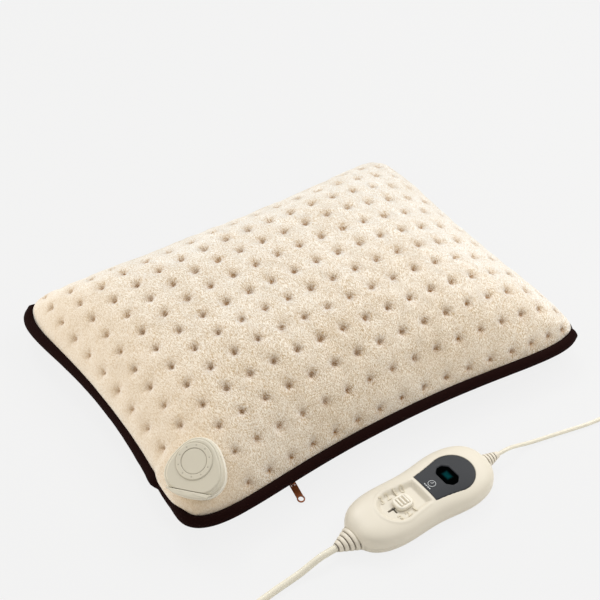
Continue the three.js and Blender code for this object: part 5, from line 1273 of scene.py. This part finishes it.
def buildSocket():
    s = socket
    base = slabRings(socketOutline(0.0), -s["sink"], s["baseTop"], 0.9, 0.3, centre=s["centre"], inner=4)
    obj = loft("socketBase", placed(base, socketFrame), sharp=50)
    setMask(obj, "pit", np.zeros(len(obj.data.vertices)))
    finishPiece(obj, finishes["rim"], ["socket_base"])
    rings, shade = housingRings()
    housing = loft("socketHousing", placed(rings, socketFrame))
    setMask(housing, "pit", shade)
    turn = Matrix.Rotation(s["mouthTurn"], 4, "Z")
    mouthFrame = socketFrame @ Matrix.Translation((*s["centre"], 0)) @ turn
    corners = [(s["mouthStart"], s["mouthLow"]), (s["mouthEnd"], s["mouthLow"]),
               (s["mouthEnd"], s["mouthHigh"]), (s["mouthStart"], s["mouthHigh"])]
    mouth = [[(x, side * s["mouthHalf"], z) for x, z in corners] for side in (-1, 1)]
    cutAway(housing, [loft("mouthCutter", placed(mouth, mouthFrame))])
    finishPiece(housing, finishes["plate"], ["socket_housing", "socket_cap"])
    buildLatch()


def socketTurns(points):
    return np.arctan2(points[:, 1] - socket["centre"][1], points[:, 0] - socket["centre"][0])


def buildLatch():
    s = socket
    outline = socketOutline(0.4, 720)
    fromTooth = np.degrees(np.angle(np.exp(1j * (socketTurns(outline) - s["toothTurn"]))))
    outline = outlineShift(outline, s["toothReach"] * bump(fromTooth, s["toothWidth"])[:, None])
    kept = outline[towardsMouth(outline) - s["latchPlace"] > s["latchGap"]]
    kept = kept[np.argsort(np.unwrap(socketTurns(kept) % (2 * np.pi)))]
    chord = kept[-1] + (kept[0] - kept[-1]) * np.linspace(0, 1, 60)[1:-1, None]
    rings = slabRings(np.vstack([kept, chord]), s["latchLow"], s["top"], 0.6, 0.2, inner=10)
    flat = rings.reshape(-1, 3)
    ridge = s["ridgeHeight"] * bump(towardsMouth(flat) - s["latchPlace"] - s["ridgePlace"], s["ridgeWidth"])
    flat[:, 2] += np.where(flat[:, 2] > s["top"] - 0.2, ridge, 0)
    obj = loft("socketLatch", placed(flat.reshape(rings.shape), socketFrame), sharp=55)
    setMask(obj, "pit", np.zeros(len(obj.data.vertices)))
    finishPiece(obj, finishes["plate"], ["socket_latch"], body="latch_body")


buildSocket()
print("connector plate made")


# Controller, in its own frame: x along it, z up
controller = {
    "leftHalf": 58.6, "rightHalf": 59.8, "height": 19.5, "parting": 8.2, "waist": 23.0, "leftLobe": 24.2,
    "rightLobe": 26.1, "waistPlace": -0.04, "lobePlace": 0.55, "endPower": 4.76, "endRoundness": 2.03,
    "fallPower": 10.0, "fallRoundness": 2.4, "section": 2.93, "footCut": 0.6, "edgeShare": 0.97,
    "edgeDrop": 0.12, "faceOffset": -1.4, "faceLow": 13.0, "panelSeat": 1.2, "recessDepth": 3.4,
    "recessWall": 4.2, "rampStart": -29.0, "rampLength": 9.0, "rampRise": 0.9,
    "lipHeight": 0.3, "lipPlace": 1.0, "lipWidth": 0.9,
    "slotX": (-28.5, -14.0), "slotY": (-0.75, 0.75), "barX": (-24.8, -23.4), "barY": (-4.2, 1.2),
    "slotDepth": 1.8, "panelShade": 0.55,
}


def bodyShares(s):
    c = controller
    lobe = np.where(s < c["waistPlace"], c["leftLobe"], c["rightLobe"])
    reach = np.where(s < c["waistPlace"], c["lobePlace"] + c["waistPlace"], c["lobePlace"] - c["waistPlace"])
    half = c["waist"] + (lobe - c["waist"]) * smoothStep(np.abs(s - c["waistPlace"]) / reach)
    size = np.minimum(np.abs(s), 1.0)
    return (half * (1 - size ** c["endPower"]) ** (1 / c["endRoundness"]),
            (1 - size ** c["fallPower"]) ** (1 / c["fallRoundness"]))


def halfLength(side):
    return np.where(np.asarray(side) < 0, controller["leftHalf"], controller["rightHalf"])


def bodyTop(x, y):
    c = controller
    half, fall = bodyShares(x / halfLength(x))
    share = np.clip(np.abs(y) / np.maximum(half, 1e-6), 0, 1)
    rise = (c["height"] - c["parting"]) * fall
    return c["parting"] + rise * (1 - share ** c["section"]) ** (1 / c["section"])


def arcPoints(centre, radius, start, end, count):
    turns = np.linspace(start, end, count)
    return np.column_stack([centre + radius * np.cos(turns), radius * np.sin(turns)])


def curvePoints(a, b, c, count):
    t = np.linspace(0, 1, count)[:, None]
    return (1 - t) ** 2 * np.array(a) + 2 * t * (1 - t) * np.array(b) + t * t * np.array(c)


# Teardrop outline of the panel (sign 1) and the slider's recess (sign -1), counter-clockwise
def teardrop(sign, edgeX, edgeHalf, lobeX, lobeRadius, grow=0.0):
    sweep = math.radians(96)
    radius, edge, half = lobeRadius + grow, edgeX - sign * grow, edgeHalf + grow
    touch = (lobeX + sign * radius * math.cos(sweep), radius * math.sin(sweep))
    bend = (edge + (touch[0] - edge) * 0.5, half + (touch[1] - half) * 0.3)
    lower = curvePoints((edge, -half), (bend[0], -bend[1]), (touch[0], -touch[1]), 24)
    arc = arcPoints(0, radius, -sweep, sweep, 80)
    arc = np.column_stack([lobeX + sign * arc[:, 0], arc[:, 1]])
    upper = curvePoints(touch, bend, (edge, half), 24)
    side = np.column_stack([np.full(30, edge), np.linspace(half, -half, 30)])
    outline = np.vstack([lower[:-1], arc[:-1], upper[:-1], side[:-1]])
    outline[:, 1] += controller["faceOffset"]
    area = np.sum(outline[:, 0] * np.roll(outline[:, 1], -1) - np.roll(outline[:, 0], -1) * outline[:, 1])
    return outline if area > 0 else outline[::-1]


panelOutline = teardrop(1, 3.3, 12.6, 27.6, 16.5)
recessOutline = teardrop(-1, 1.5, 11.8, -21.0, 14.6)


# Stations along the body as shares of its half length, even up to 0.9 and crowded towards the ends
def bodyStations(even, crowded):
    ends = 1 - 0.1 * (1 - np.linspace(0, 1, crowded)) ** 2.2
    along = np.concatenate([np.linspace(0, 0.9, even)[:-1], ends])
    return np.concatenate([-along[:0:-1], along])


# Evenly spaced points over each section, and two drawn in just under its edge
def upperRings(count=150):
    c = controller
    shares = bodyStations(150, 34)
    turns = np.linspace(0, np.pi, count)
    half, fall = bodyShares(shares)
    cosines, sines = np.cos(turns), np.sin(turns)
    rings = np.zeros((len(shares), count + 2, 3))
    for k, s in enumerate(shares):
        rise = (c["height"] - c["parting"]) * fall[k]
        y = half[k] * np.sign(cosines) * np.abs(cosines) ** (2 / c["section"])
        z = rise * sines ** (2 / c["section"])
        walked = np.concatenate([[0], np.cumsum(np.hypot(np.diff(y), np.diff(z)))])
        marks = np.linspace(0, walked[-1], count)
        x = s * halfLength(s)
        rings[k, :count, 0] = x
        rings[k, :count, 1] = np.interp(marks, walked, y)
        rings[k, :count, 2] = c["parting"] + np.interp(marks, walked, z)
        rings[k, count] = (x, -half[k] * c["edgeShare"], c["parting"] - c["edgeDrop"])
        rings[k, count + 1] = (x, half[k] * c["edgeShare"], c["parting"] - c["edgeDrop"])
    return rings


# Height of the face with the slider's recess pressed in and a soft lip round it
def recessedTop(xy, z):
    c = controller
    gap = outlineDistance(xy, recessOutline)
    ramp = smoothStep((c["rampStart"] - xy[:, 0]) / c["rampLength"])
    floor = c["height"] - c["recessDepth"] + c["rampRise"] * ramp
    z = z + (np.minimum(floor, z) - z) * smoothStep(-gap / c["recessWall"])
    lip = c["lipHeight"] * bump(gap - c["lipPlace"], c["lipWidth"])
    return z + lip * smoothStep((2 - xy[:, 0]) / 4)


# 1 between two limits, eased to 0 just inside them
def between(values, limits, ease):
    return smoothStep((values - limits[0]) / ease) * smoothStep((limits[1] - values) / ease)


def buildUpperShell():
    c = controller
    rings = upperRings()
    flat = rings.reshape(-1, 3)
    top = flat[:, 2] > c["faceLow"]
    xy = flat[top][:, :2]
    panelGap = outlineDistance(xy, panelOutline)
    z = recessedTop(xy, flat[top][:, 2])
    seat = smoothStep((0.05 - panelGap) / 0.25)
    x, y = xy[:, 0], xy[:, 1] - c["faceOffset"]
    slot = between(x, c["slotX"], 0.5) * between(y, c["slotY"], 0.3)
    bar = between(x, c["barX"], 0.3) * between(y, c["barY"], 0.4)
    dark = np.maximum(slot, bar)
    flat[top, 2] = z - c["panelSeat"] * seat - c["slotDepth"] * dark
    shade = np.zeros(len(flat))
    shade[top] = np.maximum(dark, c["panelShade"] * bump(panelGap, 0.28))
    obj = loft("upperShell", placed(flat.reshape(rings.shape), controllerFrame))
    setMask(obj, "shade", shade)
    obj.data.set_sharp_from_angle(angle=math.radians(70))
    finishPiece(obj, finishes["case"], ["controller_upper_shell"])


def buildLowerShell():
    c = controller
    shares = bodyStations(60, 24)
    turns = np.linspace(0, np.pi, 72)
    half, fall = bodyShares(shares)
    rings = []
    for k, s in enumerate(shares):
        drop = (c["parting"] + c["footCut"]) * fall[k]
        y = half[k] * np.sign(np.cos(turns)) * np.abs(np.cos(turns)) ** (2 / c["section"])
        z = c["parting"] - 0.1 - drop * np.sin(turns) ** (2 / c["section"])
        x = np.full(len(turns), s * halfLength(s))
        rings.append(np.column_stack([x, y, np.maximum(z, 0.0)]))
    obj = loft("lowerShell", placed(rings, controllerFrame))
    setMask(obj, "shade", np.zeros(len(obj.data.vertices)))
    finishPiece(obj, finishes["case"], ["controller_lower_shell"])


# Slab that follows the body's top: rings drawn in from an outline
def faceSlab(outline, depth, proud, roundEdge, inner, centre, steps=5):
    xy = outlineShift(outline, -0.2)
    rings = [np.column_stack([xy, bodyTop(xy[:, 0], xy[:, 1]) - depth])]
    for k in range(steps + 1):
        turn = math.pi / 2 * k / steps
        xy = outlineShift(outline, -roundEdge * (1 - math.cos(turn)))
        z = bodyTop(xy[:, 0], xy[:, 1]) + proud - roundEdge * (1 - math.sin(turn))
        rings.append(np.column_stack([xy, z]))
    edge = rings[-1][:, :2]
    for k in range(1, inner + 1):
        xy = edge + (np.array(centre) - edge) * (k / (inner + 0.3))
        rings.append(np.column_stack([xy, bodyTop(xy[:, 0], xy[:, 1]) + proud]))
    return np.array(rings)


# Display window: a box with cut, eased corners, and points along its sides so that it can follow the face
window = {
    "halfX": 6.0, "halfY": 9.5, "chamfer": 3.8, "ease": 0.9, "centreX": 23.4, "sink": 0.8, "play": 0.25,
    "glowX": 23.3, "glowHalfX": 1.6, "glowHalfY": 2.6, "glowReach": 1.6, "glowFade": 2.6,
}


def windowOutline(grow=0.0, cornerSteps=5):
    x, y, chamfer = window["halfX"] + grow, window["halfY"] + grow, window["chamfer"]
    corners = np.array([
        (x - chamfer, -y), (x, -y + chamfer), (x, y - chamfer), (x - chamfer, y), (-x + chamfer, y),
        (-x, y - chamfer), (-x, -y + chamfer), (-x + chamfer, -y)])
    points = []
    for k, corner in enumerate(corners):
        before, after = corners[k - 1], corners[(k + 1) % len(corners)]
        back = (before - corner) / np.linalg.norm(before - corner) * window["ease"]
        onward = (after - corner) / np.linalg.norm(after - corner) * window["ease"]
        points += list(curvePoints(corner + back, corner, corner + onward, cornerSteps))
        side = after - onward - (corner + onward)
        points += [corner + onward + side * t for t in np.linspace(0, 1, 10)[1:-1]]
    return np.array(points) + (window["centreX"], controller["faceOffset"])


def buildPanel():
    centre = (window["centreX"], controller["faceOffset"])
    rings = faceSlab(outlineShift(panelOutline, -0.15), 1.4, 0.12, 0.5, 60, centre)
    flat = rings.reshape(-1, 3)
    windowGap = outlineDistance(flat[:, :2], windowOutline())
    flat[:, 2] -= window["sink"] * smoothStep(-windowGap / 0.4) + 0.1 * bump(windowGap, 0.4)
    obj = loft("displayPanel", placed(flat.reshape(rings.shape), controllerFrame))
    obj.data.set_sharp_from_angle(angle=math.radians(60))
    finishPiece(obj, finishes["panel"], ["display_panel"])
    lens = faceSlab(windowOutline(-window["play"]), 1.6, -0.28, 0.25, 36, centre)
    obj = loft("displayLens", placed(lens, controllerFrame))
    flat = lens.reshape(-1, 3)
    x, y = flat[:, 0] - window["glowX"], flat[:, 1] - controller["faceOffset"]
    edge = np.maximum(np.abs(x) - window["glowHalfX"], np.abs(y) - window["glowHalfY"])
    setMask(obj, "glow", smoothStep((window["glowReach"] - edge) / window["glowFade"]))
    finishPiece(obj, finishes["lens"], ["display_window"])


# Thin printed mark that lies on the panel: a strip along a line of points
ink = {"panelTop": 0.12, "sunk": 0.05, "proud": 0.14}


def printedStrip(name, line, width, closed=False):
    line = np.asarray(line, float)
    along = np.roll(line, -1, 0) - np.roll(line, 1, 0) if closed else np.gradient(line, axis=0)
    along /= np.linalg.norm(along, axis=1, keepdims=True)
    side = np.column_stack([-along[:, 1], along[:, 0]]) * width / 2
    rings = []
    for k in range(len(line)):
        a, b = line[k] - side[k], line[k] + side[k]
        za, zb = (float(bodyTop(*end)) + ink["panelTop"] for end in (a, b))
        rings.append([(*a, za - ink["sunk"]), (*b, zb - ink["sunk"]), (*b, zb + ink["proud"]),
                      (*a, za + ink["proud"])])
    return loft(name, placed(rings, controllerFrame), endless=closed, sharp=30)


clock = {
    "x": 9.6, "radius": 2.7, "line": 0.3,
    "hands": (("clockHandLong", (1.8, 0.0)), ("clockHandShort", (0.0, 1.3))),
    "dashX": -4.1, "dashes": (-2.6, -0.9, 0.9, 2.6), "dashHalf": 0.6, "dashWidth": 0.7,
}


def buildClock():
    centre = np.array((clock["x"], controller["faceOffset"]))
    turns = 2 * np.pi * np.arange(48) / 48
    ring = centre + clock["radius"] * np.column_stack([np.cos(turns), np.sin(turns)])
    marks = [printedStrip("clockRing", ring, clock["line"], closed=True)]
    for name, reach in clock["hands"]:
        tip = centre + reach
        marks.append(printedStrip(name, [centre, (centre + tip) / 2, tip], clock["line"]))
    half = (0, clock["dashHalf"])
    for number, y in enumerate(clock["dashes"], 1):
        middle = centre + (clock["dashX"], y)
        line = [middle - half, middle, middle + half]
        marks.append(printedStrip(f"clockDash{number}", line, clock["dashWidth"]))
    for mark in marks:
        finishPiece(mark, finishes["printed"])


# Slider knob: a rounded block with a shallow well in its top and three ribs across it
knob = {
    "x": -16.0, "halfX": 6.8, "halfY": 6.1, "corner": 5.0, "floorGap": 0.3, "height": 2.9, "roundTop": 1.3,
    "roundLow": 0.3, "wellX": (-4.4, 4.4), "wellY": (-4.2, 4.2), "wellEase": 0.6, "wellDepth": 0.3,
    "ribs": (-2.8, 0.0, 2.8), "ribHeight": 2.5, "ribPower": 3.0,
    "ribSections": ((-3.7, 0.4, 0.5), (-3.4, 0.8, 1.0), (3.4, 0.8, 1.0), (3.7, 0.4, 0.5)),
}


def buildKnob():
    floor = controller["height"] - controller["recessDepth"] + knob["floorGap"]
    place = (knob["x"], controller["faceOffset"], 0.0)
    turns = 2 * np.pi * (np.arange(160) + 0.5) / 160
    arc = np.column_stack([np.cos(turns), np.sin(turns)])
    straight = np.array((knob["halfX"], knob["halfY"])) - knob["corner"]
    outline = np.sign(arc) * straight + knob["corner"] * arc
    rings = slabRings(outline, floor, floor + knob["height"], knob["roundTop"], knob["roundLow"],
                      inner=40, steps=8, centre=(0.0, 0.0))
    flat = rings.reshape(-1, 3)
    well = between(flat[:, 0], knob["wellX"], knob["wellEase"])
    well *= between(flat[:, 1], knob["wellY"], knob["wellEase"])
    shade = well * (flat[:, 2] > floor + knob["height"] - 0.3)
    flat[:, 2] -= knob["wellDepth"] * shade
    obj = loft("sliderKnob", placed(flat.reshape(rings.shape) + place, controllerFrame))
    setMask(obj, "shade", shade)
    finishPiece(obj, finishes["knob"], ["slider_knob"], body="slider_knob_body")
    for number, x in enumerate(knob["ribs"], 1):
        middle = np.array(place) + (x, 0, floor + knob["ribHeight"])
        rings = []
        for y, wide, high in knob["ribSections"]:
            section = superRing(0, wide, high, knob["ribPower"], 24)
            rings.append([(across, y, rise) for _, across, rise in section])
        rib = loft(f"knobRib{number}", placed(np.array(rings) + middle, controllerFrame), sharp=50)
        setMask(rib, "shade", np.zeros(len(rib.data.vertices)))
        finishPiece(rib, finishes["knob"], body="slider_knob_body")


# Raised plain numbers on both sides of the knob, each laid on the face and the slope of the recess; their
# finish is a little darker than the case as painted shade that sets them off
numbers = {
    "size": 7.2, "swell": 0.1, "depth": 0.3, "bevel": 0.04, "rise": 0.1,
    "places": [("3", -26.4, 9.5), ("2", -20.8, 10.0), ("1", -14.8, 10.0), ("0", -8.8, 9.6),
               ("3", -24.6, -9.6), ("2", -18.6, -9.9), ("1", -12.6, -9.8)],
}


def buildNumbers():
    for number, (text, x, y) in enumerate(numbers["places"], 1):
        font = bpy.data.curves.new(f"number{number}", "FONT")
        font.body = text
        font.size = numbers["size"] * mm
        font.offset = numbers["swell"] * mm
        font.align_x = "CENTER"
        font.align_y = "CENTER"
        font.extrude = numbers["depth"] * mm
        font.bevel_depth = numbers["bevel"] * mm
        source = bpy.data.objects.new(f"source{number}", font)
        bpy.context.scene.collection.objects.link(source)
        depsgraph = bpy.context.evaluated_depsgraph_get()
        mesh = bpy.data.meshes.new_from_object(source.evaluated_get(depsgraph))
        bpy.data.objects.remove(source)
        points = np.array([v.co[:] for v in mesh.vertices]) / mm
        points += (x, y + controller["faceOffset"], numbers["rise"])
        points[:, 2] += recessedTop(points[:, :2], bodyTop(points[:, 0], points[:, 1]))
        mesh.vertices.foreach_set("co", (placed(points, controllerFrame) * mm).ravel())
        mesh.update()
        obj = bpy.data.objects.new(f"number{number}", mesh)
        bpy.context.scene.collection.objects.link(obj)
        finishPiece(obj, finishes["mark"])


buildUpperShell()
buildLowerShell()
buildPanel()
buildClock()
buildKnob()
buildNumbers()
print("controller made")

# Solids that keep their own shape
dress("lining", ["inner_cushion"])
dress("felt", ["heating_carrier"])
dress("wire", ["heating_wire", "feed_cable"])
dress("steel", ["thermal_cutout_1", "thermal_cutout_2", "socket_screw_1", "socket_screw_2"])
dress("steel", [f"case_screw_{number}" for number in range(1, 5)])
dress("plate", ["socket_backplate"])
dress("pin", [f"socket_contact_{number}" for number in range(1, 4)])
dress("tube", ["display_module", "fuse"])
dress("board", ["circuit_board"])
dress("black", ["slide_switch", "power_switch"])


# Studio: a pale floor, a high soft sun from behind, an even surround, and three softboxes given by their
# power, width, place, target and tone
studio = {
    "backdrop": "f2f2f2", "surround": 0.595, "surroundTone": (1.0, 0.98, 0.94), "sunStrength": 1.07,
    "sunAngle": 20.0, "sunTilt": 42.0, "sunTurn": -14.0, "sunColour": (0.985, 0.995, 1.0), "floorGlow": 0.94,
    "floorHalf": 6000.0, "floorGap": 0.02, "boxHeight": 0.3,
    "boxes": [("softboxRight", 4.0, 0.8, (0.7, 0.0, 0.8), (0.1, -0.1, 0.0), (1.0, 0.99, 0.97)),
              ("softboxLeft", 2.2, 0.8, (-0.72, 0.42, 0.15), (-0.12, 0.05, 0.04), (1.0, 0.89, 0.74)),
              ("softboxNear", 0.24, 0.3, (0.3, -0.3, 0.26), (0.1, -0.15, 0.02), (1.0, 0.95, 0.86))],
}


def buildStudio():
    scene = bpy.context.scene
    scene.view_settings.view_transform = "Standard"
    world = bpy.data.worlds.new("surround")
    scene.world = world
    world.use_nodes = True
    tree = world.node_tree
    background = tree.nodes["Background"]
    rays = addNode(tree, "ShaderNodeLightPath")
    seen = addMath(tree, "MAXIMUM", rays.outputs["Is Camera Ray"], rays.outputs["Is Glossy Ray"])
    seen = addMath(tree, "MAXIMUM", seen, rays.outputs["Is Transmission Ray"])
    light = (*(studio["surround"] * part for part in studio["surroundTone"]), 1.0)
    tree.links.new(mixColours(tree, seen, light, colour(studio["backdrop"])), background.inputs["Color"])
    sunData = bpy.data.lights.new("sun", "SUN")
    sunData.energy = studio["sunStrength"]
    sunData.color = studio["sunColour"]
    sunData.angle = math.radians(studio["sunAngle"])
    sun = bpy.data.objects.new("sun", sunData)
    scene.collection.objects.link(sun)
    sun.rotation_euler = (-math.radians(studio["sunTilt"]), 0, math.radians(studio["sunTurn"]))
    for name, power, wide, place, target, tone in studio["boxes"]:
        boxData = bpy.data.lights.new(name, "AREA")
        boxData.shape = "RECTANGLE"
        boxData.size, boxData.size_y = wide, studio["boxHeight"]
        boxData.energy = power
        boxData.color = tone
        box = bpy.data.objects.new(name, boxData)
        scene.collection.objects.link(box)
        box.location = place
        box.visible_camera = False
        box.rotation_euler = (Vector(target) - box.location).to_track_quat("-Z", "Y").to_euler()
    floorMaterial, tree, shader = newMaterial("floorPale", {"Roughness": 1.0, "Specular IOR Level": 0.0})
    shader.inputs["Base Color"].default_value = colour(studio["backdrop"])
    glow = addNode(tree, "ShaderNodeEmission")
    glow.inputs["Color"].default_value = colour(studio["backdrop"])
    mix = addNode(tree, "ShaderNodeMixShader")
    rays = addNode(tree, "ShaderNodeLightPath")
    share = addMath(tree, "MULTIPLY", rays.outputs["Is Camera Ray"], studio["floorGlow"])
    tree.links.new(share, mix.inputs[0])
    tree.links.new(shader.outputs[0], mix.inputs[1])
    tree.links.new(glow.outputs[0], mix.inputs[2])
    tree.links.new(mix.outputs[0], tree.nodes["Material Output"].inputs["Surface"])
    side = studio["floorHalf"]
    floor = addMesh("floor", [(-side, -side, 0), (side, -side, 0), (side, side, 0), (-side, side, 0)],
                    [(0, 1, 2, 3)], smooth=False)
    floor.location.z = -studio["floorGap"] * mm
    floor.data.materials.append(floorMaterial)


buildStudio()
print("studio set")
